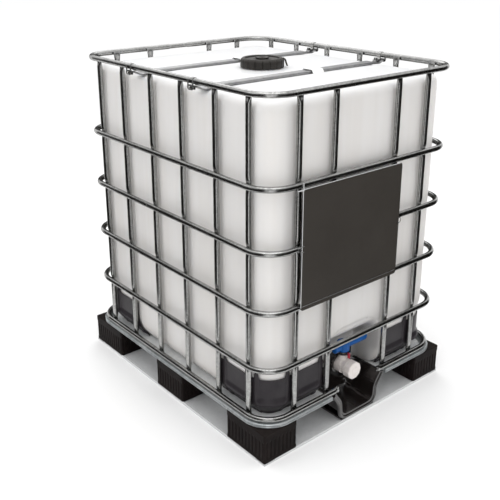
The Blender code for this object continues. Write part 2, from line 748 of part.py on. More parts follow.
# ---------------------------------------------------------------- outlet valve
def along_outlet(distance, z=0.0):
    """A point in front of the outlet axis' empty, which stands at the stem."""
    return (0, STEM_Y - distance, z)


def make_valve():
    axis = bpy.data.objects.new("stem_axis", None)
    PARTS.objects.link(axis)
    axis.location = (0, -STEM_Y, OUTLET_Z)

    def cutter(obj):
        obj.location = axis.location
        return as_cutter(obj)

    body = cylinder("valve_body", VALVE_RADIUS, along_outlet(SPOUT_END + GAP), along_outlet(VALVE_SHOULDER))
    neck = cylinder("outlet_thread", THREAD_RADIUS, along_outlet(VALVE_SHOULDER - 0.005), along_outlet(VALVE_END))
    boolean(body, "UNION", cutter(neck))
    boss = cylinder("stem_boss", STEM_BOSS[0], (0, 0, VALVE_RADIUS * 0.85), (0, 0, STEM_TOP), 24)
    boolean(body, "UNION", cutter(boss))
    flow = cylinder("flow_bore", BORE_RADIUS, along_outlet(SPOUT_END - 0.02), along_outlet(VALVE_END + 0.02))
    boolean(body, "DIFFERENCE", cutter(flow))
    seat = STEM_RADIUS + STEM_CLEARANCE
    stem_hole = cylinder("stem_hole", seat, (0, 0, -VALVE_RADIUS + 0.003), (0, 0, STEM_TOP + 0.02), 16)
    boolean(body, "DIFFERENCE", cutter(stem_hole))
    place(body, WHITE, axis.location, axis)

    disc_radius = BORE_RADIUS - STEM_CLEARANCE
    half = DISC_THICKNESS / 2
    disc = cylinder("valve_disc", disc_radius, (0, -half, 0), (0, half, 0))
    stem_top = HANDLE_HUB_BOTTOM + 0.018
    stem = cylinder("stem", STEM_RADIUS, (0, 0, -VALVE_RADIUS + 0.004), (0, 0, stem_top), 16)
    boolean(disc, "UNION", cutter(stem))
    place(disc, WHITE, axis.location, axis)

    low, high = HANDLE_HUB_BOTTOM, HANDLE_HUB_BOTTOM + HANDLE_HUB_HEIGHT
    arm_z = (low + high) / 2
    handle = cylinder("valve_handle", HANDLE_HUB_RADIUS, (0, 0, low), (0, 0, high), 24)
    arm = cylinder("handle_arm", HANDLE_ARM[0], (0, 0, arm_z), (HANDLE_ARM[1], 0, arm_z), 16)
    stub = cylinder("handle_stub", HANDLE_STUB[0], (-HANDLE_STUB[1], 0, arm_z), (0, 0, arm_z), 16)
    boolean(handle, "UNION", cutter(arm))
    boolean(handle, "UNION", cutter(stub))
    socket = cylinder("handle_socket", STEM_RADIUS + GAP, (0, 0, low - 0.01), (0, 0, stem_top + GAP), 16)
    boolean(handle, "DIFFERENCE", cutter(socket))
    place(handle, BLUE, axis.location, axis)

    radius = COLLAR[0]
    low, high = NUT_RADIUS + COLLAR[1], NUT_RADIUS + COLLAR[2]
    collar = ring("handle_collar", STEM_BOSS[0] + GAP, radius, (0, 0, low), (0, 0, high), 24)
    bpy.data.objects["handle_collar_hole"].location = axis.location
    place(collar, BLACK, axis.location, axis)

    nut = ring(
        "union_nut",
        VALVE_RADIUS + 2 * GAP,
        NUT_RADIUS,
        along_outlet(HALF_Y - NUT_INSETS[0]),
        along_outlet(HALF_Y - NUT_INSETS[1]),
        24,
    )
    bpy.data.objects["union_nut_hole"].location = axis.location
    place(nut, BLACK, axis.location, axis)


def make_outlet_cap():
    """The outlet's screw cap and its seal, on the outlet's axis."""
    axis = bpy.data.objects.new("outlet_axis", None)
    PARTS.objects.link(axis)
    axis.location = (0, -VALVE_END, OUTLET_Z)
    back, front = (inset - VALVE_END_INSET for inset in OUTLET_CAP_INSETS)
    cap = cylinder("outlet_cap", OUTLET_CAP_RADIUS, (0, back, 0), (0, front, 0), OUTLET_CAP_FACETS)
    ceiling = -(GAP + OUTLET_SEAL + GAP)
    hollow = cylinder("outlet_cap_bore", OUTLET_CAP_BORE, (0, back + 0.01, 0), (0, ceiling, 0))
    hollow.location = axis.location
    boolean(cap, "DIFFERENCE", as_cutter(hollow))
    place(cap, WHITE, axis.location, axis)
    seal = ring(
        "outlet_seal", BORE_RADIUS, THREAD_RADIUS, (0, -GAP, 0), (0, -GAP - OUTLET_SEAL, 0)
    )
    bpy.data.objects["outlet_seal_hole"].location = axis.location
    place(seal, RUBBER, axis.location, axis)


def main():
    make_base_frame()
    make_feet()
    make_deck_pan()
    make_valve_guard()
    make_hoops()
    make_base_rail()
    make_uprights()
    make_bottle()
    make_corner_guards()
    make_crossbars()
    make_clamps()
    make_plate()
    make_filling_cap()
    make_valve()
    make_outlet_cap()
    for name in ("valve_body", "valve_handle", "valve_disc", "union_nut", "cap_seal", "outlet_seal"):
        shade_round(bpy.data.objects[name])


main()
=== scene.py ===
"""Looks of the intermediate bulk container: detailed skins for its pieces, finishes and studio."""

import bmesh
import bpy
import numpy as np
from bpy.props import FloatProperty, FloatVectorProperty, IntProperty, PointerProperty
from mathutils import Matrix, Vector


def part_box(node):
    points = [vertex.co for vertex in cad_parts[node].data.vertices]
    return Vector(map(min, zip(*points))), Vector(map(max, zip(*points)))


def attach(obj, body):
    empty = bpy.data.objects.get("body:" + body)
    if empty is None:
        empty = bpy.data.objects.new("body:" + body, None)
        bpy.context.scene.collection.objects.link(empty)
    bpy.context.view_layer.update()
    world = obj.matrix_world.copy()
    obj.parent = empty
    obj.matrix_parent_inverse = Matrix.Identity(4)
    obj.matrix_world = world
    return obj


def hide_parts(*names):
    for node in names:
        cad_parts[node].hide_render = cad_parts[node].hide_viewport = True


bl_info = {
    "name": "Bulk container looks",
    "version": (1, 0, 0),
    "blender": (4, 5, 0),
    "location": "View3D > Sidebar > Container",
    "description": "Makes the visible pieces of a caged bulk container",
    "category": "Object",
}

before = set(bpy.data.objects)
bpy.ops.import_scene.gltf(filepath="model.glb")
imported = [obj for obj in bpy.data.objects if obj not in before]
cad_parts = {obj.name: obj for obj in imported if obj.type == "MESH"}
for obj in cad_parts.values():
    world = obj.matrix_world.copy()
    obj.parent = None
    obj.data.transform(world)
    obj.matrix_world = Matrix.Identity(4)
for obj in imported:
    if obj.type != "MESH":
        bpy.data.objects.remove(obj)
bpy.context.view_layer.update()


# ---------------------------------------------------------------- places taken from the frame
def span(node):
    """Lowest and highest corner of a CAD node as arrays."""
    low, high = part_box(node)
    return np.array(low), np.array(high)


HOOPS = ["cage_hoop_1", "cage_hoop_2", "cage_hoop_3", "cage_hoop_4"]
RAIL_LOW, RAIL_HIGH = span("top_rail")
BASE_LOW, BASE_HIGH = span("base_rail")
TUBE = (RAIL_HIGH[2] - RAIL_LOW[2]) / 2
RAIL_Z = (RAIL_HIGH[2] + RAIL_LOW[2]) / 2
BASE_Z = (BASE_HIGH[2] + BASE_LOW[2]) / 2
HOOP_Z = [float(sum(c[2] for c in span(name)) / 2) for name in HOOPS]
HOOP_HALF = RAIL_HIGH[:2] - TUBE
HOOP_RADIUS = 0.105
BOTTLE_LOW, BOTTLE_HIGH = span("bottle")
BOTTLE_HALF = BOTTLE_HIGH[:2]
BOTTLE_RADIUS = 0.092
PAN_LOW, PAN_HIGH = span("deck_pan")
CAP_LOW, CAP_HIGH = span("filling_cap")
BOTTLE_TOP = CAP_LOW[2] - 0.0035
VALVE_LOW, VALVE_HIGH = span("valve_body")
OUTLET_LOW, OUTLET_HIGH = span("outlet_cap")
OUTLET_Z = (OUTLET_LOW[2] + OUTLET_HIGH[2]) / 2
OUTLET_BORE = 0.025
STEM_Y = -0.5
CROSSBAR_Y = (-0.2, 0.2)
GUARD_LOW, GUARD_HIGH = span("valve_guard")
PROTECTOR_TOP = max(span(name)[1][2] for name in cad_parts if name.startswith("corner_guard"))
UPRIGHTS = {}
for _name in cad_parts:
    if _name.startswith("upright_"):
        _low, _high = span(_name)
        UPRIGHTS[_name] = (_low[:2] + _high[:2]) / 2


CORNERS = [("front", "left", -1, -1), ("front", "right", 1, -1), ("back", "left", -1, 1), ("back", "right", 1, 1)]
SIDES = {"left": (-1, 0), "right": (1, 0), "front": (0, -1), "back": (0, 1)}
UP = (0.0, 0.0, 1.0)

# the finishes, made by the first step, and the colour slot that each one fills
FINISH = {}
SLOTS = {
    **dict.fromkeys(("tube", "bar", "deck", "rim", "frame"), "galvanised_steel"),
    **dict.fromkeys(("protector", "foot", "guard", "cap", "tag"), "black_plastic"),
    **dict.fromkeys(("bottle", "bridge"), "natural_hdpe"),
    "white": "white_plastic", "lever": "blue_plastic", "plate": "plate_coating",
}


# ---------------------------------------------------------------- surface tools
def spread(x, y, z):
    """Points from their coordinates, each stretched over the rows and columns of the others."""
    return np.stack(np.broadcast_arrays(x, y, z), -1)


def lifted(xy, z):
    """XY points at a height: one for all, one for each row or one for each point."""
    return spread(xy[..., 0], xy[..., 1], z)


def smooth(x, low, high):
    """Eases from 0 at low to 1 at high with a cubic, flat at both ends."""
    t = np.clip((np.asarray(x, float) - low) / (high - low), 0, 1)
    return t * t * (3 - 2 * t)


def hill(x, width):
    """A bell round zero: e to the minus (x / width) squared."""
    return np.exp(-((np.asarray(x, float) / width) ** 2))


def quads(rows, columns, wrap_rows, wrap_columns):
    """Corner numbers of the quads between neighbours on a grid of points."""
    i, j = np.indices((rows if wrap_rows else rows - 1, columns if wrap_columns else columns - 1))
    right, down = (j + 1) % columns, (i + 1) % rows
    corners = [i * columns + j, i * columns + right, down * columns + right, down * columns + j]
    return np.stack(corners, -1).reshape(-1, 4)


def skin(points, wrap=(False, True), caps=(True, True)):
    """A closed surface from a grid of points; caps close its first and last rows."""
    rows, columns, _ = points.shape
    faces = quads(rows, columns, *wrap).tolist()
    if caps[0]:
        faces.append(list(range(columns)))
    if caps[1]:
        faces.append(list(range((rows - 1) * columns, rows * columns)))
    return points.reshape(-1, 3), faces


def grid_normals(points, wrap):
    """Unit normals of a grid: the cross product of its steps along both ways."""
    steps = []
    for axis in (0, 1):
        if wrap[axis]:
            steps.append(np.roll(points, -1, axis) - np.roll(points, 1, axis))
        else:
            steps.append(np.gradient(points, axis=axis))
    normal = np.cross(*steps)
    return normal / np.maximum(np.linalg.norm(normal, axis=-1, keepdims=True), 1e-12)


def wall(points, thickness, wrap=(False, False)):
    """A closed wall: a grid, its copy moved by thickness along the normals, and its edges."""
    rows, columns, _ = points.shape
    other = points + grid_normals(points, wrap) * thickness
    count = rows * columns
    faces = quads(rows, columns, *wrap)
    faces = np.concatenate([faces, faces[:, ::-1] + count])
    index = np.arange(count).reshape(rows, columns)
    edges = []
    if not wrap[0]:
        edges += [(index[0], wrap[1]), (index[-1], wrap[1])]
    if not wrap[1]:
        edges += [(index[:, 0], wrap[0]), (index[:, -1], wrap[0])]
    for line, closed in edges:
        following = np.roll(line, -1) if closed else line[1:]
        first = line if closed else line[:-1]
        strip = np.stack([first, following, following + count, first + count], -1)
        faces = np.concatenate([faces, strip])
    return np.concatenate([points.reshape(-1, 3), other.reshape(-1, 3)]), faces.tolist()


def loop_stops(half, radius):
    """Arc lengths, round a rectangle with round corners, where straights and corners end."""
    a, b, q = half[0] - radius, half[1] - radius, radius * np.pi / 2
    return np.cumsum([0, a, q, 2 * b, q, 2 * a, q, 2 * b, q, a])


def loop_at(s, half, radius):
    """A rectangle with round corners, by arc length from the middle of its -Y side.

    The centre of its rounding moves along a smaller rectangle on the straights and stands
    still on the corners, where the normal turns; both are piecewise linear in the length.
    """
    a, b = half[0] - radius, half[1] - radius
    stops = loop_stops(half, radius)
    core_x = [0, a, a, a, a, -a, -a, -a, -a, 0]
    core_y = [-b, -b, -b, b, b, b, b, -b, -b, -b]
    turn = np.radians([-90, -90, 0, 0, 90, 90, 180, 180, 270, 270])
    core = np.stack([np.interp(s, stops, core_x), np.interp(s, stops, core_y)], -1)
    angle = np.interp(s, stops, turn)
    return core, np.stack([np.cos(angle), np.sin(angle)], -1)


def loop_steps(half, radius, straight, corner):
    """Arc lengths along such a rectangle: one spacing on straights, another on corners."""
    stops = loop_stops(half, radius)
    parts = []
    for k, (start, end) in enumerate(zip(stops, stops[1:])):
        spacing = corner if k % 2 else straight
        parts.append(np.linspace(start, end, max(2, int(round((end - start) / spacing)) + 1))[:-1])
    return np.concatenate(parts), stops[-1]


def loop_place(point, half, radius):
    """Arc length of the loop's point nearest to an XY point, and the loop's whole length."""
    s, total = loop_steps(half, radius, 0.001, 0.001)
    core, normal = loop_at(s, half, radius)
    line = core + radius * normal
    return s[np.argmin(np.sum((line - np.asarray(point)) ** 2, -1))], total


def loop_away(s, point, half, radius):
    """Distance along the loop, the shorter way round, from the place nearest to an XY point."""
    place, total = loop_place(point, half, radius)
    return np.abs((s - place + total / 2) % total - total / 2)


def pushed(core, normal, out):
    """Rows round a loop: its core moved along its normals, by a distance for each row and column."""
    return core[None] + out[..., None] * normal[None]


def circle(sides):
    """Angles of a circle's equal steps."""
    return np.linspace(0, 2 * np.pi, sides, endpoint=False)


def unit(vectors):
    """Each vector divided by its length."""
    return vectors / np.linalg.norm(vectors, axis=-1, keepdims=True)


def round_tube(path, side, up, radius, sides=16, wrap=False):
    """A tube: circles in the planes of side and up, which are one vector or one for each point.

    Each point is the path's plus radius times (side by the cosine plus up by the sine).
    """
    angle = circle(sides)[None, :, None]
    side, up = (np.broadcast_to(v, path.shape)[:, None, :] for v in (side, up))
    radius = np.broadcast_to(np.asarray(radius, float), (len(path),))[:, None, None]
    ring = np.cos(angle) * side + np.sin(angle) * up
    return skin(path[:, None, :] + radius * ring, (wrap, True), (not wrap, not wrap))


def wire(points, radius, sides=10, steps=6):
    """A bent rod: a smooth spline through points, with circles square to its run.

    Each span is a Catmull-Rom cubic of the four points round it.
    """
    points = np.asarray(points, float)
    padded = np.concatenate([[2 * points[0] - points[1]], points, [2 * points[-1] - points[-2]]])
    t = np.linspace(0, 1, steps, endpoint=False)[:, None]
    runs = []
    for p0, p1, p2, p3 in zip(padded, padded[1:], padded[2:], padded[3:]):
        square, cube = 2 * p0 - 5 * p1 + 4 * p2 - p3, 3 * p1 - p0 - 3 * p2 + p3
        runs.append(0.5 * (2 * p1 + (p2 - p0) * t + square * t**2 + cube * t**3))
    path = np.concatenate([*runs, points[-1:]])
    along = unit(np.gradient(path, axis=0))
    slanted = np.array([0.31, 0.87, 0.39])  # along none of the rods
    side = unit(np.cross(along, slanted))
    return round_tube(path, side, np.cross(side, along), radius, sides)


def notched(count, depth, narrow, wide, first, last):
    """A shape for turned: on the rows first to last, count grooves take depth of the radius away.

    A groove eases out between narrow and wide, as shares of half its pitch.
    """

    def shape(angle, row):
        phase = np.abs((angle * count / (2 * np.pi)) % 1.0 - 0.5) * 2
        return 1 - depth * (1 - smooth(phase, narrow, wide)) * ((row >= first) & (row <= last))

    return shape


def turned(profile, centre, axis="z", sides=48, shape=None):
    """A turned solid: (radius, height) pairs swung round the z or -y axis.

    A shape(angle, row) scales the radii.
    """
    radius, height = np.array(profile, float).T[..., None]
    angle = circle(sides)
    scale = 1.0 if shape is None else shape(angle[None, :], np.arange(len(radius))[:, None])
    a, b = radius * np.cos(angle) * scale, radius * np.sin(angle) * scale
    local = spread(a, b, height) if axis == "z" else spread(a, -height, b)
    return skin(local + np.asarray(centre, float))


def ring_turned(profile, centre, axis="z", sides=48, shape=None):
    """A turned ring: the profile is a closed outline, joined end to start."""
    points, _ = turned(profile, centre, axis, sides, shape)
    grid = points.reshape(len(profile), sides, 3)
    return skin(grid, (True, True), (False, False))


def brick(low, high, radius=0.002, steps=4):
    """A block with rounded edges: a rounded rectangle whose rows pull in at top and bottom."""
    low, high = np.asarray(low, float), np.asarray(high, float)
    half = (high[:2] - low[:2]) / 2
    radius = min(radius, 0.45 * min(half), 0.45 * (high[2] - low[2]))
    s, _ = loop_steps(half, radius * 1.001, 1.0, radius * 1.6 / steps)
    core, normal = loop_at(s, half, radius * 1.001)
    turn = np.radians(np.linspace(0, 90, steps))
    inset = np.concatenate([radius * (1 - np.sin(turn)), radius * (1 - np.cos(turn))])
    z = np.concatenate([low[2] + radius * (1 - np.cos(turn)), high[2] - radius * (1 - np.sin(turn))])
    xy = pushed(core, normal, (radius * 1.001 - inset)[:, None]) + (low[:2] + high[:2]) / 2
    return skin(lifted(xy, z[:, None]))


def hex_bolt(centre, axis, across=0.013, depth=0.007):
    """A hexagon bolt head with a chamfered top."""
    r = across / 2 / np.cos(np.pi / 6)
    return turned([(r, 0), (r, depth * 0.82), (r * 0.9, depth)], centre, axis, 6)


def piece(name, parts, finish, nodes=(), sharp=38, body="container"):
    """Joins parts into one mesh with outward faces, rides it on a body and sets its finish.

    Edges that turn by more than sharp degrees stay sharp.
    """
    points, faces, start = [], [], 0
    for part_points, part_faces in parts:
        points.append(part_points)
        faces += [[start + k for k in face] for face in part_faces]
        start += len(part_points)
    mesh = bpy.data.meshes.new(name)
    mesh.from_pydata(np.concatenate(points).tolist(), [], faces)
    bm = bmesh.new()
    bm.from_mesh(mesh)
    bmesh.ops.recalc_face_normals(bm, faces=bm.faces)
    bm.to_mesh(mesh)
    bm.free()
    mesh.shade_smooth()
    mesh.set_sharp_from_angle(angle=np.radians(sharp))
    mesh.materials.append(FINISH[finish])
    obj = bpy.data.objects.new(name, mesh)
    bpy.context.scene.collection.objects.link(obj)
    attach(obj, body)
    if nodes:
        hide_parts(*nodes)


# ---------------------------------------------------------------- finishes
class Nodes:
    """A material's node tree with short ways to add and join nodes."""

    def __init__(self, name, colour, roughness, metallic=0.0):
        self.material = bpy.data.materials.new(name)
        self.material.use_nodes = True
        self.tree = self.material.node_tree
        self.shader = self.tree.nodes["Principled BSDF"]
        self.place = self.add("ShaderNodeTexCoord").outputs["Object"]
        self.set("Base Color", (*colour, 1.0))
        self.set("Roughness", roughness)
        self.set("Metallic", metallic)

    def add(self, kind, **values):
        node = self.tree.nodes.new(kind)
        for key, value in values.items():
            setattr(node, key, value)
        return node

    def set(self, socket, value):
        self.shader.inputs[socket].default_value = value

    def join(self, output, target):
        self.tree.links.new(output, target)

    def fed(self, kind, inputs, output, **values):
        """Adds a node, gives its inputs their values or joins them, and returns one output."""
        node = self.add(kind, **values)
        for key, value in inputs.items():
            if isinstance(value, bpy.types.NodeSocket):
                self.join(value, node.inputs[key])
            else:
                node.inputs[key].default_value = value
        return node.outputs[output]

    def noise(self, scale, detail=4.0, roughness=0.5, stretch=(1, 1, 1)):
        place = self.fed("ShaderNodeMapping", {"Scale": stretch, "Vector": self.place}, "Vector")
        inputs = {"Scale": scale, "Detail": detail, "Roughness": roughness, "Vector": place}
        return self.fed("ShaderNodeTexNoise", inputs, "Fac")

    def cells(self, scale):
        colour = self.fed("ShaderNodeTexVoronoi", {"Scale": scale, "Vector": self.place}, "Color")
        return self.fed("ShaderNodeSeparateColor", {"Color": colour}, "Red")

    def ramp(self, value, stops):
        node = self.add("ShaderNodeValToRGB")
        ramp = node.color_ramp
        while len(ramp.elements) < len(stops):
            ramp.elements.new(0.5)
        for element, (position, colour) in zip(ramp.elements, stops):
            element.position = position
            element.color = (*colour, 1.0)
        self.join(value, node.inputs["Fac"])
        return node.outputs["Color"]

    def between(self, value, low, high):
        return self.fed("ShaderNodeMapRange", {"To Min": low, "To Max": high, "Value": value}, "Result")

    def times(self, first, second):
        return self.fed("ShaderNodeMath", {0: first, 1: second}, 0, operation="MULTIPLY", use_clamp=True)

    def mix(self, factor, first, second, blend="MIX"):
        node = self.add("ShaderNodeMix", data_type="RGBA", blend_type=blend)
        for socket, value in (("Factor", factor), ("A", first), ("B", second)):
            target = [i for i in node.inputs if i.name == socket and i.enabled][0]
            if isinstance(value, (tuple, float)):
                target.default_value = value if isinstance(value, float) else (*value, 1.0)
            else:
                self.join(value, target)
        return [o for o in node.outputs if o.enabled][0]

    def bump(self, height, strength, distance):
        inputs = {"Strength": strength, "Distance": distance, "Height": height}
        self.join(self.fed("ShaderNodeBump", inputs, "Normal"), self.shader.inputs["Normal"])

    def facing_up(self):
        normal = self.add("ShaderNodeNewGeometry").outputs["Normal"]
        return self.fed("ShaderNodeSeparateXYZ", {"Vector": normal}, "Z")

    def height(self):
        return self.fed("ShaderNodeSeparateXYZ", {"Vector": self.place}, "Z")

    def cover(self, colour, roughness):
        """Joins the colour and the roughness to the shader."""
        self.join(colour, self.shader.inputs["Base Color"])
        self.join(roughness, self.shader.inputs["Roughness"])


def galvanised(name, light, dark, rough=(0.16, 0.34), spangle=120.0, stretch=(1, 1, 1), metallic=1.0):
    """Hot-dip zinc: spangle cells over slow stains, both in colour and in roughness."""
    n = Nodes(name, light, rough[0], metallic)
    stains = n.noise(9.0, 5.0, 0.6, stretch)
    crystals = n.cells(spangle)
    colour = n.ramp(crystals, [(0.0, dark), (1.0, light)])
    stained = n.ramp(stains, [(0.35, dark), (0.62, light)])
    n.cover(n.mix(0.5, colour, stained), n.between(n.noise(38.0, 3.0, 0.6, stretch), *rough))
    n.bump(n.noise(260.0, 2.0), 0.12, 0.0006)
    return n.material


def moulded(name, colour, worn, rough, dust, coat, shine):
    """Injection-moulded plastic: fine grain, slow colour change, and dust on upward faces."""
    n = Nodes(name, colour, rough[0])
    patches = n.ramp(n.noise(14.0, 5.0, 0.65), [(0.35, colour), (0.75, worn)])
    if dust > 0:
        amount = n.times(n.between(n.facing_up(), -1.0, 1.0), dust)
        amount = n.times(amount, n.between(n.noise(30.0, 4.0, 0.7), 0.2, 1.2))
        patches = n.mix(amount, patches, (0.36, 0.33, 0.31))
    n.cover(patches, n.between(n.noise(60.0, 4.0, 0.6), *rough))
    n.bump(n.noise(900.0, 2.0), 0.25, 0.0003)
    n.set("Specular IOR Level", shine)
    n.set("Coat Weight", coat)
    n.set("Coat Roughness", 0.08)
    return n.material


def natural_plastic(name, colour, warm):
    """Blow-moulded polyethylene: cloudy depth, faint upright flow lines and a waxy gloss.

    A painted shade darkens it towards the floor, and a painted highlight whitens its upward faces.
    """
    n = Nodes(name, colour, 0.36)
    flow = n.noise(7.0, 3.0, 0.55, (1.0, 1.0, 0.12))
    cloud = n.noise(3.0, 4.0, 0.5)
    body = n.ramp(flow, [(0.3, warm), (0.62, colour)])
    thick = n.ramp(cloud, [(0.3, warm), (0.7, colour)])
    streaks = n.ramp(n.noise(21.0, 2.0, 0.5, (1.0, 1.0, 0.03)), [(0.36, warm), (0.62, colour)])
    skin_tone = n.mix(0.40, n.mix(0.45, body, thick), streaks)
    # painted shade: a darker copy of the colour, blended in fully at the floor and fading out by one metre up
    shaded = n.mix(1.0, skin_tone, (0.85, 0.85, 0.85), "MULTIPLY")
    side = n.mix(n.between(n.height(), 1.0, 0.0), skin_tone, shaded)
    rough = n.between(n.noise(26.0, 4.0, 0.6, (1.0, 1.0, 0.3)), 0.30, 0.46)
    # painted highlight: faces that look upwards blend towards a whiter colour
    n.cover(n.mix(n.facing_up(), side, (0.82, 0.82, 0.822)), rough)
    n.bump(n.noise(22.0, 3.0, 0.5, (1.0, 1.0, 0.25)), 0.30, 0.0015)
    n.set("Subsurface Weight", 0.55)
    n.set("Subsurface Radius", (0.05, 0.048, 0.044))
    n.set("Subsurface Scale", 0.6)
    n.set("IOR", 1.51)
    return n.material


def coated_sheet(name, colour, light):
    """Thick matt coating: orange-peel bump and a slow change of tone."""
    n = Nodes(name, colour, 0.45)
    tone = n.ramp(n.noise(4.0, 5.0, 0.6), [(0.3, colour), (0.8, light)])
    n.cover(tone, n.between(n.noise(45.0, 4.0), 0.38, 0.56))
    n.bump(n.noise(420.0, 2.0), 0.30, 0.0004)
    n.set("Specular IOR Level", 0.14)
    return n.material


# ---------------------------------------------------------------- user settings
def colour_setting(name, description, default):
    return FloatVectorProperty(
        name=name, description=description, subtype="COLOR", default=default, min=0, max=1
    )


def length_setting(name, description, default, low, high):
    return FloatProperty(
        name=name, description=description, default=default, min=low, max=high, unit="LENGTH"
    )


class ContainerFinishes(bpy.types.PropertyGroup):
    """Colours of the container's materials."""

    bottle: colour_setting("Bottle", "Natural plastic", (0.765, 0.745, 0.725))
    bottle_warm: colour_setting("Bottle, warm", "Where the plastic is thicker", (0.705, 0.675, 0.642))
    steel_light: colour_setting("Zinc, light", "Bright zinc crystals", (0.482, 0.482, 0.473))
    steel_dark: colour_setting("Zinc, dark", "Dull zinc crystals", (0.240, 0.240, 0.236))
    lever: colour_setting("Lever", "Valve lever", (0.0012, 0.070, 0.27))
    plate: colour_setting("Marking plate", "Coating of the plate", (0.036, 0.0315, 0.027))


class CageShape(bpy.types.PropertyGroup):
    """Shape of the cage's tubes."""

    sides: IntProperty(name="Tube sides", description="Facets round a tube", default=16, min=8, max=32)
    squeeze: length_setting(
        "Crossing depth", "How far an upright is pressed in where a hoop crosses it", 0.0060, 0, 0.008
    )
    flare: length_setting("End width", "Half width of an upright's flattened ends", 0.0165, 0.009, 0.02)
    end_run: length_setting("End length", "Length over which an upright's end flattens", 0.042, 0.01, 0.08)


class BottleShape(bpy.types.PropertyGroup):
    """Shape of the bottle."""

    shoulder: length_setting("Shoulder", "Radius of the top edge", 0.032, 0.01, 0.08)
    heel: length_setting("Heel", "Radius of the bottom edge", 0.078, 0.005, 0.1)
    bulge: length_setting("Bulge", "How far the panels swell between tubes", 0.0018, 0, 0.004)
    corner_swell: length_setting(
        "Corner swell", "How much further the corners stand out above the protectors", 0.0115, 0, 0.014
    )
    recess_depth: length_setting("Valve recess", "Depth of the recess for the valve", 0.129, 0.05, 0.13)


# ---------------------------------------------------------------- operators
class CONTAINER_OT_finishes(bpy.types.Operator):
    """Makes the container's materials"""

    bl_idname = "container.finishes"
    bl_label = "Make finishes"

    def execute(self, context):
        colours = context.scene.container_finishes
        light, dark = tuple(colours.steel_light), tuple(colours.steel_dark)
        FINISH["tube"] = galvanised("zinc_tube", light, dark, (0.16, 0.32), 150.0, (1, 1, 0.4))
        FINISH["bar"] = galvanised("zinc_bar", (0.42, 0.42, 0.42), (0.27, 0.27, 0.275), (0.34, 0.5), 90.0)
        # painted light: the deck's zinc gets a near-white colour that stands in for the light the translucent
        # bottle throws onto the pan
        FINISH["deck"] = galvanised(
            "zinc_deck", (0.95, 0.955, 0.96), (0.80, 0.815, 0.82), (0.30, 0.46), 70.0, metallic=0.05
        )
        FINISH["rim"] = galvanised(
            "zinc_rim", (0.62, 0.645, 0.65), (0.33, 0.36, 0.37), (0.24, 0.42), 70.0, metallic=0.7
        )
        FINISH["frame"] = galvanised(
            "zinc_frame", (0.64, 0.645, 0.65), (0.57, 0.575, 0.58), (0.5, 0.7), 80.0, metallic=0.1
        )
        FINISH["bottle"] = natural_plastic("natural_plastic", tuple(colours.bottle), tuple(colours.bottle_warm))
        # colour, worn colour, roughness, dust, coat, shine
        for key, colour, worn, rough, dust, coat, shine in (
            ("protector", (0.021, 0.018, 0.021), (0.032, 0.028, 0.031), (0.28, 0.40), 0.04, 0.0, 0.22),
            ("foot", (0.0058, 0.0040, 0.0038), (0.013, 0.0085, 0.0078), (0.46, 0.60), 0.03, 0.0, 0.08),
            ("guard", (0.008, 0.0062, 0.006), (0.014, 0.011, 0.010), (0.06, 0.14), 0.0, 1.0, 0.6),
            ("cap", (0.022, 0.020, 0.018), (0.036, 0.032, 0.029), (0.34, 0.48), 0.08, 0.0, 0.18),
            ("white", (0.75, 0.70, 0.68), (0.67, 0.62, 0.59), (0.34, 0.46), 0.0, 0.0, 0.5),
            ("bridge", (0.88, 0.88, 0.87), (0.82, 0.82, 0.81), (0.38, 0.5), 0.0, 0.0, 0.5),
            ("lever", tuple(colours.lever), (0.003, 0.090, 0.33), (0.26, 0.40), 0.0, 0.0, 0.28),
            ("tag", (0.62, 0.03, 0.06), (0.50, 0.02, 0.05), (0.30, 0.42), 0.0, 0.0, 0.5),
            ("seal", (0.02, 0.02, 0.02), (0.03, 0.03, 0.03), (0.6, 0.8), 0.0, 0.0, 0.5),
        ):
            FINISH[key] = moulded(key + "_plastic", colour, worn, rough, dust, coat, shine)
        FINISH["plate"] = coated_sheet("plate_coating", tuple(colours.plate), (0.044, 0.039, 0.034))
        return {"FINISHED"}


class CONTAINER_OT_hoops(bpy.types.Operator):
    """Makes the round rails and hoops of the cage"""

    bl_idname = "container.hoops"
    bl_label = "Make hoops and rails"

    def execute(self, context):
        sides = context.scene.cage_shape.sides
        s, total = loop_steps(HOOP_HALF, HOOP_RADIUS, 0.05, 0.008)
        for name, z in [*zip(HOOPS, HOOP_Z), ("top_rail", RAIL_Z)]:
            steps, radius = s, TUBE
            if name == "top_rail":
                # a thinner joint in the middle of the back
                steps = np.sort(np.concatenate([s, total / 2 + np.array([-0.052, -0.048, 0.048, 0.052])]))
                radius = TUBE * (1 - 0.13 * (np.abs(steps - total / 2) < 0.05))
            core, normal = loop_at(steps, HOOP_HALF, HOOP_RADIUS)
            path = lifted(core + HOOP_RADIUS * normal, z)
            tube = round_tube(path, lifted(normal, 0.0), UP, radius, sides, True)
            piece(name + "_tube", [tube], "tube", [name])
        return {"FINISHED"}


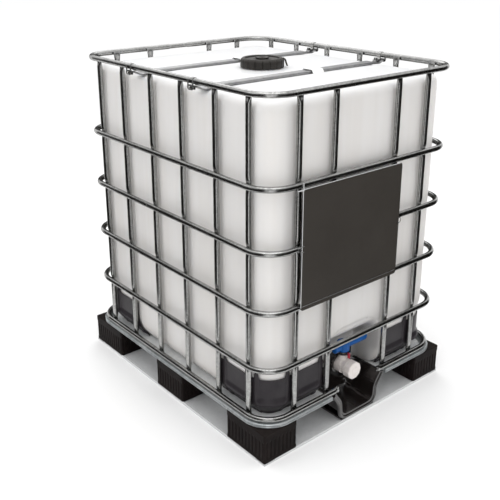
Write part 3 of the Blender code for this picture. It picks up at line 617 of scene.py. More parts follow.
class CONTAINER_OT_base_rail(bpy.types.Operator):
    """Makes the lowest rail, with pressed-flat ends beside the outlet"""

    bl_idname = "container.base_rail"
    bl_label = "Make base rail"

    def execute(self, context):
        gap = 0.110  # half of the opening for the outlet
        s, total = loop_steps(HOOP_HALF, HOOP_RADIUS, 0.05, 0.008)
        s = s[(s > gap + 0.03) & (s < total - gap - 0.03)]
        near = gap + np.linspace(0, 0.03, 9)
        s = np.concatenate([near, s, (total - near)[::-1]])
        core, normal = loop_at(s, HOOP_HALF, HOOP_RADIUS)
        line = core + HOOP_RADIUS * normal
        angle = circle(context.scene.cage_shape.sides)
        pressed = 1 - smooth(np.minimum(s - gap, total - gap - s), 0.002, 0.022)
        out = TUBE * (1 - 0.72 * pressed)[:, None] * np.cos(angle)
        rise = TUBE * (1 + 0.28 * pressed)[:, None] * np.sin(angle)
        xy = line[:, None, :] + out[..., None] * normal[:, None, :]
        tube = skin(lifted(xy, BASE_Z + 0.0022 * pressed[:, None] + rise))
        bolts = [
            hex_bolt((x, -HOOP_HALF[1] - 0.0028, BASE_Z), "-y", 0.012, 0.006) for x in (-gap - 0.009, gap + 0.009)
        ]
        piece("base_rail_tube", [tube, *bolts], "tube", ["base_rail"])
        return {"FINISHED"}


class CONTAINER_OT_uprights(bpy.types.Operator):
    """Makes the uprights, pressed in at each hoop and flattened at both ends"""

    bl_idname = "container.uprights"
    bl_label = "Make uprights"

    def execute(self, context):
        shape = context.scene.cage_shape
        bottom, top = PAN_HIGH[2] - 0.0065, RAIL_Z + 0.0045
        levels = [np.linspace(bottom, bottom + 0.06, 16), np.linspace(top - 0.06, top, 16)]
        for z in HOOP_Z:
            levels.append(np.linspace(z - 0.045, z + 0.045, 19))
        levels.append(np.linspace(bottom, top, 28))
        z = np.unique(np.round(np.concatenate(levels), 4))
        pressed = sum(hill(z - hoop, 0.017) for hoop in HOOP_Z)
        flat_top = smooth(z, top - shape.end_run, top - 0.006)
        flat_low = 1 - smooth(z, bottom + 0.010, bottom + shape.end_run + 0.006)
        flat = np.maximum(flat_top, flat_low)
        angle = circle(shape.sides + 4)
        half_width = TUBE + 0.0016 * pressed + (shape.flare - TUBE) * flat
        outer = (TUBE - shape.squeeze * pressed) * (1 - flat) + 0.0030 * flat
        inner = TUBE * (1 - flat) + 0.0022 * flat
        sine, cosine = np.sin(angle)[None, :], np.cos(angle)[None, :]
        channel = 1 - 0.85 * flat[:, None] * hill(cosine, 0.5)
        depth = np.where(sine > 0, outer[:, None] * sine * channel, inner[:, None] * sine)
        across = half_width[:, None] * cosine
        for name, centre in UPRIGHTS.items():
            out = SIDES[name.split("_")[1]]
            along = (-out[1], out[0])
            points = spread(*(centre[k] + out[k] * depth + along[k] * across for k in (0, 1)), z[:, None])
            piece(name + "_tube", [skin(points)], "tube", [name])
        return {"FINISHED"}


def panel_bulge(s, z, half, radius, amount):
    """How far the bottle's wall stands out: swollen between tubes, held in at each tube.

    The swell falls by a bell round every upright's place and every hoop's height.
    """
    held = np.zeros_like(s)
    for centre in UPRIGHTS.values():
        held = np.maximum(held, hill(loop_away(s, centre, half, radius), 0.034))
    rings = sum(hill(z - hoop, 0.050) for hoop in HOOP_Z)
    return amount * (1 - held[None, :]) * (1 - 0.55 * np.clip(rings, 0, 1)[:, None])


class CONTAINER_OT_bottle(bpy.types.Operator):
    """Makes the blow-moulded bottle with its neck and valve recess"""

    bl_idname = "container.bottle"
    bl_label = "Make bottle"

    def execute(self, context):
        shape = context.scene.bottle_shape
        half, radius = BOTTLE_HALF - 0.0032, BOTTLE_RADIUS
        # finer steps across the front, where the recess is
        recess_reach = 0.19
        front = np.arange(0, recess_reach, 0.0042)
        s, total = loop_steps(half, radius, 0.017, 0.010)
        s = s[(s > recess_reach) & (s < total - recess_reach)]
        s = np.concatenate([front, s, (total - front[1:])[::-1]])
        low, high = BOTTLE_LOW[2] + 0.0004, BOTTLE_TOP
        shoulder, heel = shape.shoulder, shape.heel
        turn = np.radians(np.linspace(0, 90, 8))
        z = np.concatenate([
            low + heel * (1 - np.cos(turn[:-1])),
            np.arange(low + heel, 0.40, 0.0055),
            np.linspace(0.405, high - shoulder - 0.008, 60),
            high - shoulder * (1 - np.sin(turn)),
        ])
        pull = np.zeros_like(z)
        pull[: len(turn) - 1] = heel * (1 - np.sin(turn[:-1]))
        pull[-len(turn) :] = shoulder * (1 - np.cos(turn))
        core, normal = loop_at(s, half, radius)
        swell = panel_bulge(s, z, half, radius, shape.bulge)
        swell = swell * smooth(z, low + heel, low + heel + 0.05)[:, None]
        swell = swell * (1 - smooth(z, high - 2 * shoulder, high - shoulder * 0.4))[:, None]
        square = (np.abs(normal).sum(1) - 1) / (np.sqrt(2) - 1)
        above = smooth(z, PROTECTOR_TOP + 0.004, PROTECTOR_TOP + 0.060)
        swell = swell + shape.corner_swell * square[None] * above[:, None]
        side = lifted(pushed(core, normal, radius - pull[:, None] + swell), z[:, None])
        # the lid of the bottle: the shoulder's edge drawn in to the neck's circle
        edge = side[-1, :, :2]
        way = unit(edge / half)
        neck_radius, neck_top = 0.075, CAP_LOW[2] + 0.0255
        t = np.concatenate([np.linspace(0, 0.9, 34)[1:], [0.95, 0.98, 1.0]])
        flat = (1 - t)[:, None, None] * edge[None] + t[:, None, None] * (way * (neck_radius + 0.004))[None]
        lid = lifted(flat, high + 0.0022 * np.sin(np.pi * t)[:, None])
        bore, ceiling = neck_radius - 0.0052, high - 0.012
        rim = [lifted(way * ring_radius, ring_z) for ring_radius, ring_z in (
            (neck_radius + 0.0008, high + 0.0012), (neck_radius, high + 0.004), (neck_radius, neck_top - 0.0015),
            (neck_radius - 0.0012, neck_top), (neck_radius - 0.0042, neck_top), (bore, neck_top - 0.0012),
            (bore, ceiling),
        )]
        # inside: the same skin, smaller, from the neck back down and closed at the floor
        inner = [lifted((1 - k) * way * bore + k * edge * 0.97, ceiling) for k in (0.3, 0.65, 1.0)]
        deep = side[::-6].copy()
        deep[..., :2] *= 0.985
        deep[..., 2] = np.clip(deep[..., 2], low + 0.006, high - 0.03)
        under = [side[0] * np.array([k, k, 1.0]) for k in (0.05, 0.3, 0.6, 0.9)]
        outside = [*under, *side, *lid, *rim, *inner]
        grid = np.stack([*outside, *deep[1:]])
        self.press_recess(grid, shape.recess_depth, half, len(outside))
        self.press_grooves(grid, high)
        bottle = skin(grid)
        spout = ring_turned(
            [(OUTLET_BORE, 0), (OUTLET_BORE, 0.040), (0.031, 0.040), (0.031, 0)],
            (0, -half[1] + shape.recess_depth + 0.002, OUTLET_Z), "-y", 40,
        )
        piece("bottle_shell", [bottle, spout], "bottle", ["bottle", "bottle_neck", "bottle_recess"], 60)
        return {"FINISHED"}

    def press_recess(self, grid, depth, half, outer_rows):
        """Pushes the front wall back inside an upright slot with a round top.

        The push eases from none to full over a band along the slot's signed distance.
        """
        x, y, z = grid[..., 0], grid[..., 1], grid[..., 2]
        slot_half, slot_top, slot_radius = 0.152, BOTTLE_LOW[2] + 0.243, 0.086
        dx = np.abs(x) - (slot_half - slot_radius)
        dz = z - (slot_top - slot_radius)
        away = np.hypot(np.maximum(dx, 0), np.maximum(dz, 0)) + np.minimum(np.maximum(dx, dz), 0) - slot_radius
        share = 1 - smooth(away, -0.012, 0.012)
        slope = smooth(slot_top - z, -0.006, 0.120)
        wall_y = -half[1] + depth * share * slope + 0.003 * hill(away - 0.014, 0.016)
        # the inner skin stays behind the outer one
        wall_y = wall_y + 0.0035 * (np.arange(len(grid))[:, None] >= outer_rows)
        pushed_in = (y < 0) & (share > 0) & (z < slot_top + 0.03)
        grid[..., 1] = np.where(pushed_in, np.maximum(y, wall_y), y)

    def press_grooves(self, grid, high):
        """Sinks two soft troughs across the top, where the crossbars lie.

        Each falls off between two distances from its bar's middle line.
        """
        y, z = grid[..., 1], grid[..., 2]
        trough = sum(1 - smooth(np.abs(y - bar), 0.024, 0.050) for bar in CROSSBAR_Y)
        top_only = smooth(z, high - 0.03, high - 0.002) * (z < high + 0.0035)
        grid[..., 2] = z - 0.0068 * trough * top_only


class CONTAINER_OT_protectors(bpy.types.Operator):
    """Makes the plastic protectors round the bottle's lower corners"""

    bl_idname = "container.protectors"
    bl_label = "Make corner protectors"

    def execute(self, context):
        half, radius = BOTTLE_HALF + 0.0006, BOTTLE_RADIUS
        for end, side, sx, sy in CORNERS:
            node = f"corner_guard_{end}_{side}"
            low, high = span(node)
            a, b, q = half[0] - radius, half[1] - radius, radius * np.pi / 2
            start, stop = np.minimum(np.abs(low), np.abs(high))[:2]
            # arc length for the corner at +X -Y, from the short end round to the long side
            end_s = a + q + (b - stop)
            s = np.arange(start, end_s, 0.0025)
            core, normal = loop_at(s, half, radius)
            # tabs stand up on both sides of an upright, and the ledge is clear of it
            tab, clear = np.zeros_like(s), np.ones_like(s)
            for centre in UPRIGHTS.values():
                if centre[0] * sx > 0 and centre[1] * sy > 0:
                    away = np.abs(s - loop_place((abs(centre[0]), -abs(centre[1])), half, radius)[0])
                    tab = np.maximum(tab, smooth(away, 0.012, 0.016) * (1 - smooth(away, 0.029, 0.034)))
                    clear = np.minimum(clear, smooth(away, 0.016, 0.040))
            rim_z, tab_rise = 0.291, 0.024
            top = rim_z + tab_rise * tab
            curl = smooth(end_s - s, 0.0, 0.05)
            bottom = BOTTLE_LOW[2] + 0.0030
            t = np.linspace(0, 1, 44)[:, None]
            z = bottom + (top - bottom)[None, :] * t**1.25
            lift = z - bottom
            ledge = 0.0085 * smooth(lift, 0.046, 0.054) * (1 - smooth(lift, 0.062, 0.084)) * clear[None, :]
            under = 0.034 * (1 - smooth(lift, -0.002, 0.056))
            rib = 0.0024 * tab[None, :]
            # the free upright edge sweeps outwards low down
            sweep = (1 - curl)[None, :] * (0.020 - 0.028 * smooth(lift, 0.03, 0.10))
            out = radius + ledge - under + rib
            xy = pushed(core, normal, out)
            xy[..., 1] += np.where(s[None, :] > a + q, sweep, 0)
            points = lifted(xy * (sx, -sy), z)
            if sx * sy < 0:
                points = points[:, ::-1]
            piece(node + "_shell", [wall(points, 0.0022)], "protector", [node], 50)
        return {"FINISHED"}


class CONTAINER_OT_deck(bpy.types.Operator):
    """Makes the pressed deck with its rolled rim and its raised lips between uprights"""

    bl_idname = "container.deck"
    bl_label = "Make deck"

    def execute(self, context):
        half, radius = PAN_HIGH[:2], 0.115
        notch = 0.153  # half of the opening at the front
        s, total = loop_steps(half, radius, 0.006, 0.0055)
        s = np.concatenate([[notch], s[(s > notch + 0.003) & (s < total - notch - 0.003)], [total - notch]])
        core, normal = loop_at(s, half, radius)
        lip = np.ones_like(s)
        for centre in UPRIGHTS.values():
            lip = np.minimum(lip, smooth(loop_away(s, centre, half, radius), 0.018, 0.028))
        lip = lip * smooth(s - notch, 0.005, 0.02) * smooth(total - notch - s, 0.005, 0.02)
        # (inset from the rim, height, share of the lip's rise), from the outer foot inwards
        profile = np.array([
            (0.0080, 0.0008, 0), (0.0036, 0.0008, 0), (0.0020, 0.0016, 0), (0.0016, 0.0032, 0),
            (0.0024, 0.0046, 0), (0.0042, 0.0060, 0), (0.0044, 0.0082, 0), (0.0026, 0.0098, 0),
            (0.0017, 0.0115, 0), (0.0024, 0.0130, 0), (0.0048, 0.0137, 0), (0.0110, 0.0136, 0),
            (0.0148, 0.0128, 0), (0.0165, 0.0100, 0), (0.0172, 0.0058, 0), (0.0190, 0.0036, 0),
            (0.0225, 0.0030, 0), (0.0250, 0.0030, 0.10), (0.0262, 0.0030, 0.55), (0.0278, 0.0030, 0.92),
            (0.0298, 0.0030, 1.0), (0.0316, 0.0030, 0.90), (0.0332, 0.0030, 0.52), (0.0350, 0.0030, 0.10),
            (0.0400, 0.0032, 0), (0.0600, 0.0030, 0), (0.0950, 0.0026, 0),
        ])
        inset, rise, share = profile.T
        z = PAN_LOW[2] + rise[:, None] + 0.0098 * share[:, None] * lip[None, :]
        points = lifted(pushed(core, normal, (radius - inset)[:, None]), z)
        rim, apron = wall(points[:-3], -0.0012), wall(points[-4:], -0.0012)
        across = np.array([-0.43, -0.30, -notch, -notch + 0.004, 0.0, notch - 0.004, notch, 0.30, 0.43])
        back = 0.53
        start = np.where(np.abs(across) > notch - 0.001, -0.53, -0.424)
        t = np.linspace(0, 1, 12)[:, None]
        plate = spread(across, start + (back - start) * t, PAN_LOW[2] + 0.0020)
        piece("deck_rim", [rim], "rim", (), 60)
        piece("deck_sheet", [apron, wall(plate, -0.0012)], "deck", ["deck_pan"], 60)
        return {"FINISHED"}


class CONTAINER_OT_feet(bpy.types.Operator):
    """Makes the ribbed plastic feet"""

    bl_idname = "container.feet"
    bl_label = "Make feet"

    def execute(self, context):
        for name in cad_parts:
            if not name.startswith("foot_"):
                continue
            low, high = span(name)
            half, radius = (high[:2] - low[:2]) / 2 - 0.0002, 0.007
            s, total = loop_steps(half, radius, 0.0021, 0.0012)
            core, normal = loop_at(s, half, radius)
            tall = high[2] - low[2]
            lift = np.concatenate([
                [0.0, 0.0015, 0.004, 0.012, 0.016, 0.020],
                np.linspace(0.026, tall - 0.040, 8),
                tall - np.array([0.036, 0.033, 0.030, 0.026, 0.0225, 0.0215, 0.012, 0.004, 0.0012, 0.0]),
            ])
            inset = np.interp(
                lift,
                [0, 0.0015, 0.004, 0.012, 0.016, tall - 0.0225, tall - 0.0215, tall - 0.0012, tall],
                [0.003, 0.0008, 0.0, 0.0, 0.0014, 0.0014, 0.0, 0.0, 0.0014],
            )
            pitch = total / max(1, round(total / 0.019))
            phase = np.abs((s / pitch) % 1.0 - 0.5) * pitch
            groove = 1 - smooth(phase, 0.0022, 0.0040)
            zone = smooth(lift, 0.016, 0.022) * (1 - smooth(lift, tall - 0.036, tall - 0.030))
            depth = inset[:, None] + 0.0026 * groove[None, :] * zone[:, None]
            xy = pushed(core, normal, radius - depth) + (low[:2] + high[:2]) / 2
            piece(name + "_block", [skin(lifted(xy, low[2] + lift[:, None]))], "foot", [name], 32)
        return {"FINISHED"}


def u_path(top_half, foot_half, top, foot, bend, count=10):
    """A U seen from the front: quadratic curves for its corners, its sides drawn in by a bell below the top."""
    corners = np.array([(-top_half, top), (-foot_half, foot), (foot_half, foot), (top_half, top)])
    t = np.linspace(0, 1, count)[:, None]
    parts = [corners[:1] + (corners[1:2] - corners[:1]) * np.linspace(0, 0.6, 12)[:, None]]
    for k in (1, 2):
        first = corners[k] + unit(corners[k - 1] - corners[k]) * bend
        last = corners[k] + unit(corners[k + 1] - corners[k]) * bend
        parts.append((1 - t) ** 2 * first + 2 * t * (1 - t) * corners[k] + t**2 * last)
        if k == 1:
            parts.append(np.linspace(-foot_half + 1.5 * bend, foot_half - 1.5 * bend, 8)[:, None] * [1, 0]
                         + [0, foot])
    parts.append(corners[2:3] + (corners[3:] - corners[2:3]) * np.linspace(0.4, 1, 12)[:, None])
    path = np.concatenate(parts)
    path[:, 0] *= 1 - 0.12 * hill(path[:, 1] - (top - 0.050), 0.034)
    return path


class CONTAINER_OT_frame_hems(bpy.types.Operator):
    """Makes the folded outer edges of the base frame"""

    bl_idname = "container.frame_hems"
    bl_label = "Make base frame hems"

    def execute(self, context):
        low, high = span("base_frame")
        parts = []
        for side in (-1, 1):
            for inset, radius, lift in ((0.0036, 0.0034, 0.0006), (0.0135, 0.0026, -0.0012)):
                x, y, z = side * (high[0] - inset), side * (high[1] - inset), high[2] + lift
                for start, end in (((x, low[1] + 0.05, z), (x, high[1] - 0.05, z)),
                                   ((low[0] + 0.05, y, z), (high[0] - 0.05, y, z))):
                    across = (1.0, 0.0, 0.0) if start[0] == end[0] else (0.0, 1.0, 0.0)
                    parts.append(round_tube(np.linspace(start, end, 24), across, UP, radius, 12))
        piece("base_frame_hems", parts, "frame", (), 50)
        return {"FINISHED"}


class CONTAINER_OT_guard(bpy.types.Operator):
    """Makes the glossy scoop below the outlet, with a rolled lip"""

    bl_idname = "container.guard"
    bl_label = "Make valve guard"

    def execute(self, context):
        top, foot = GUARD_HIGH[2], GUARD_LOW[2]
        top_half, foot_half = GUARD_HIGH[0], 0.095
        front, back = GUARD_LOW[1], GUARD_HIGH[1]
        margin = 0.0125
        u = u_path(top_half - margin, foot_half - margin * 0.6, top - 0.0005, foot + 0.013, 0.030)
        rows = []
        for k, y in [
            (1.0, front + 0.006), (1.0, front + 0.03), (0.985, front + 0.07), (0.965, front + 0.11),
            (0.93, back - 0.036), (0.87, back - 0.022), (0.78, back - 0.014), (0.62, back - 0.0115),
            (0.40, back - 0.0110), (0.20, back - 0.0110), (0.04, back - 0.0110),
        ]:
            narrowed = 0.25 + 0.75 * k if k > 0.9 else k
            rows.append(spread(u[:, 0] * narrowed, y, top + (u[:, 1] - top) * k))
        scoop = wall(np.stack(rows), -0.0085)
        # the rolled lip round the mouth
        lip_u = u_path(top_half - 0.0075, foot_half - 0.001, top - 0.005, foot + 0.0075, 0.034)
        lip = spread(lip_u[:, 0], front + 0.0085, lip_u[:, 1])
        forward = (0.0, 1.0, 0.0)
        bead = round_tube(lip, np.cross(unit(np.gradient(lip, axis=0)), forward), forward, 0.0072, 14)
        rails = []
        for sx in (-1, 1):
            line = np.linspace([sx * (top_half - 0.0065), front + 0.008, top - 0.0062],
                               [sx * (top_half - 0.0065), back - 0.010, top - 0.0062], 8)
            rails.append(round_tube(line, (1.0, 0.0, 0.0), UP, 0.0060, 12))
        # raised back edge behind the valve, dipping in the middle
        x = np.linspace(-0.132, 0.132, 45)
        crest = top + 0.004 + 0.074 * smooth(x, 0.045, 0.115) - 0.030 * smooth(x, 0.118, 0.132)
        crest += 0.150 * smooth(-x, 0.060, 0.105)
        t = np.linspace(0, 1, 8)[:, None]
        z = top - 0.012 + (crest - top + 0.012)[None, :] * t
        plate = spread(x, back - 0.004, z)
        sole = brick((-0.094, front + 0.004, foot), (0.094, back - 0.002, foot + 0.009), 0.003)
        piece("valve_guard_scoop", [scoop, bead, *rails, wall(plate, 0.003), sole], "guard", ["valve_guard"], 42)
        return {"FINISHED"}


class CONTAINER_OT_crossbars(bpy.types.Operator):
    """Makes the two creased bars over the bottle and the bridges that hold them down"""

    bl_idname = "container.crossbars"
    bl_label = "Make crossbars"

    def execute(self, context):
        for node, bridge_x in (("crossbar_front", (0.058, 0.116)), ("crossbar_back", (0.028, 0.052))):
            low, high = span(node)
            y0 = (low[1] + high[1]) / 2
            x = np.concatenate([
                np.linspace(low[0], low[0] + 0.11, 26), np.linspace(low[0] + 0.125, high[0] - 0.125, 24),
                np.linspace(high[0] - 0.11, high[0], 26),
            ])
            edge = np.minimum(x - low[0], high[0] - x)
            flat = 1 - smooth(edge, 0.035, 0.085)
            rise = 1 - smooth(edge, 0.008, 0.040)
            half_width = 0.0215 + 0.0030 * flat
            thick = (high[2] - low[2]) / 2 * (1 - 0.62 * flat)
            middle = low[2] + thick + 0.0004 + (RAIL_Z - TUBE - 0.0035 - low[2] - 2 * thick) * rise
            cosine, sine = np.cos(circle(28)), np.sin(circle(28))
            flat_side = np.sign(sine) * np.abs(sine) ** 0.55
            wide = np.sign(cosine) * np.abs(cosine) ** 0.55
            crease = 0.50 * hill(cosine, 0.34)
            up = np.where(sine > 0, flat_side * (1 - crease), flat_side)
            points = spread(
                x[:, None], y0 + half_width[:, None] * wide[None, :], middle[:, None] + thick[:, None] * up[None, :]
            )
            piece(node + "_tube", [skin(points)], "bar", [node], 50)
            # a white bridge over the bar
            v = np.linspace(-1, 1, 33)
            arch = high[2] + 0.0058 - (high[2] + 0.0058 - BOTTLE_TOP - 0.0010) * smooth(np.abs(v), 0.62, 0.98)
            across = y0 + 0.036 * v
            xs = np.linspace(bridge_x[0], bridge_x[1], 13)
            share = np.abs(xs - xs.mean()) / (xs[-1] - xs.mean())
            round_off = 0.0022 * (1 - np.sqrt(np.clip(1 - share**8, 0, 1)))
            top = spread(xs[:, None], across, arch[None, :] - round_off[:, None])
            piece("bridge_" + node.split("_")[1], [wall(top, -0.0026)], "bridge", (), 50)
        return {"FINISHED"}


class CONTAINER_OT_clamps(bpy.types.Operator):
    """Makes the hooked clamps between the crossbars and the top rail"""

    bl_idname = "container.clamps"
    bl_label = "Make clamps"

    def execute(self, context):
        for end, side, sx, sy in CORNERS:
            node = f"bar_clamp_{end}_{side}"
            low, high = span(node)
            y0 = (low[1] + high[1]) / 2
            rail = HOOP_HALF[0]
            turn = np.radians(np.linspace(200, -25, 22))
            reach = TUBE + 0.0019
            hook = np.stack([rail + reach * np.cos(turn), RAIL_Z + reach * np.sin(turn)], -1)
            flange = np.array([(rail - 0.040, low[2] + 0.0040), (rail - 0.022, low[2] + 0.0040),
                               (rail - 0.0145, low[2] + 0.0065), (rail - 0.0108, RAIL_Z - 0.011)])
            line = np.concatenate([flange, hook])
            y = np.linspace(y0 - 0.0085, y0 + 0.0085, 5)
            strap = wall(spread(sx * line[:, :1], y, line[:, 1:]), -0.0022 * sx)
            bolt = hex_bolt((sx * (rail - 0.031), y0, low[2] + 0.0055), "z", 0.0135, 0.0070)
            x = sx * (rail + TUBE + 0.0021)
            ring = wire([(x, y0 + dy, RAIL_Z + dz) for dy, dz in (
                (0.013, 0.002), (0.014, -0.012), (0.013, -0.026), (0.0, -0.028), (-0.013, -0.026), (-0.014, -0.012),
                (-0.013, 0.002),
            )], 0.0027)
            peg = turned([(0.0030, -0.013), (0.0048, -0.012), (0.0048, 0.012), (0.0034, 0.0135)],
                         (sx * (rail + TUBE - 0.0035), y0 - 0.004, RAIL_Z - 0.0235), "-y", 16)
            piece(node + "_hook", [strap, bolt, ring], "tube", [node], 40)
            piece(node + "_peg", [peg], "cap", (), 40)
        return {"FINISHED"}


class CONTAINER_OT_plate(bpy.types.Operator):
    """Makes the marking plate with its turned edge and its clips"""

    bl_idname = "container.plate"
    bl_label = "Make marking plate"

    def execute(self, context):
        low, high = span("marking_plate")
        middle = (low + high) / 2
        half = np.array([(high[0] - low[0]) / 2, (high[2] - low[2]) / 2])
        radius = 0.011
        s, _ = loop_steps(half, radius, 0.02, 0.0018)
        core, normal = loop_at(s, half, radius)
        rows = []
        for inset, y in (
            (0.0100, high[1]), (0.0012, high[1]), (0.0, high[1] - 0.0008), (0.0, low[1] + 0.0008),
            (0.0006, low[1] + 0.0002), (0.0022, low[1]), (0.0038, low[1] + 0.0004), (0.0046, low[1] + 0.0012),
            (0.0075, low[1] + 0.0013), (0.0105, low[1] + 0.0013),
        ):
            xz = core + (radius - inset) * normal
            rows.append(spread(middle[0] + xz[:, 0], y, middle[2] + xz[:, 1]))
        piece("marking_plate_sheet", [skin(np.stack(rows))], "plate", ["marking_plate"], 40)
        clips = []
        for x in (low[0], high[0]):
            out = -1 if x == low[0] else 1
            z = HOOP_Z[2] - (0.014 if out > 0 else 0.0)
            clips.append(wire([(x + out * dx, low[1] + dy, z + dz) for dx, dy, dz in (
                (-0.010, 0.0008, 0.010), (0.004, 0.0006, 0.009), (0.013, 0.0040, 0.004),
                (0.014, 0.0040, -0.006), (0.004, 0.0006, -0.010), (-0.010, 0.0008, -0.011),
            )], 0.0014, 8))
        piece("plate_clips", clips, "tube", (), 60)
        # painted highlight: a light wire along the top and the left side of the sheet, where its edge catches the
        # light
        line = np.array([
            (low[0] + 0.0006, low[2] + 0.012), (low[0] + 0.0006, high[2] - 0.012),
            (low[0] + 0.0036, high[2] - 0.0040), (low[0] + 0.012, high[2] - 0.0006),
            (high[0] - 0.012, high[2] - 0.0006),
        ])
        line = spread(line[:, 0], low[1] + 0.0009, line[:, 1])
        # the fold across the lower part of the sheet is real, but its light zinc finish is a painted highlight
        # along the crease
        fold = np.array([(x, low[1] + 0.0017, low[2] + 0.015) for x in (low[0] + 0.006, high[0] - 0.006)])
        piece("plate_fold_highlight", [wire(fold, 0.0013, 8)], "bar", (), 60)
        piece("plate_edge_highlight", [wire(line + [0, 0.0003, 0], 0.0012, 8, 8)], "frame", (), 60)
        return {"FINISHED"}


class CONTAINER_OT_filling_cap(bpy.types.Operator):
    """Makes the ribbed filling cap, its strap and its vent plug"""

    bl_idname = "container.filling_cap"
    bl_label = "Make filling cap"

    def execute(self, context):
        low, high = CAP_LOW, CAP_HIGH
        radius, tall = high[0], high[2] - low[2]
        bore = 0.0785
        profile = [
            (0.0225, tall - 0.0055), (0.031, tall - 0.0055), (0.0330, tall - 0.0042), (0.0350, tall - 0.0042),
            (0.0370, tall - 0.0058), (radius - 0.0215, tall - 0.0062), (radius - 0.0185, tall - 0.0010),
            (radius - 0.0165, tall), (radius - 0.0095, tall), (radius - 0.0030, tall - 0.0045),
            (radius - 0.0004, tall - 0.0095), (radius, tall - 0.0130), (radius, 0.0045), (radius - 0.0006, 0.0020),
            (radius - 0.0002, 0.0004), (radius - 0.0020, 0.0), (bore + 0.002, 0.0), (bore, 0.002),
            (bore, tall - 0.0095), (bore - 0.003, tall - 0.0070 - 0.0035), (0.0225, tall - 0.0090),
        ]
        cap = ring_turned(profile, (0, 0, low[2]), "z", 216, notched(18, 0.030, 0.06, 0.16, 9, 13))
        turn = np.radians(-38)
        way, across = np.array([np.cos(turn), np.sin(turn), 0]), np.array([-np.sin(turn), np.cos(turn), 0])
        strap = []
        for offset in (-0.011, 0.011):
            line = [(radius - 0.006, tall - 0.004), (radius + 0.0035, tall * 0.74), (radius + 0.0080, tall * 0.40),
                    (radius + 0.0120, 0.0040)]
            strap.append(wire([r * way + offset * (1 + (r - radius) * 12) * across + [0, 0, low[2] + h]
                               for r, h in line], 0.0032, 10, 6))
        strap.append(wire([(radius + 0.0035) * way + k * across + [0, 0, low[2] + tall * 0.74]
                           for k in (-0.013, 0.0, 0.013)], 0.0036, 10, 6))
        piece("filling_cap_shell", [cap, *strap], "cap", ["filling_cap"], 32, "cap")
        plug_low, plug_high = span("vent_plug")
        r, top = plug_high[0], plug_high[2]
        seat = top - 0.0045
        plug = turned(
            [(0.0002, top - 0.0022), (0.010, top - 0.0022), (0.0125, top - 0.0018), (0.0140, top - 0.0002),
             (0.0180, top), (r - 0.0042, top), (r - 0.0030, top - 0.0012), (r - 0.0028, seat + 0.0006),
             (r - 0.0034, seat), (0.0218, seat), (0.0218, plug_low[2] + 0.0004), (0.0002, plug_low[2] + 0.0004)],
            (0, 0, 0), "z", 72, notched(6, 0.05, 0.1, 0.4, 5, 8))
        slot = brick((-0.009, -0.0016, top - 0.0030), (0.009, 0.0016, top - 0.0006), 0.0006)
        piece("vent_plug_head", [plug, slot], "cap", ["vent_plug"], 32, "vent")
        return {"FINISHED"}


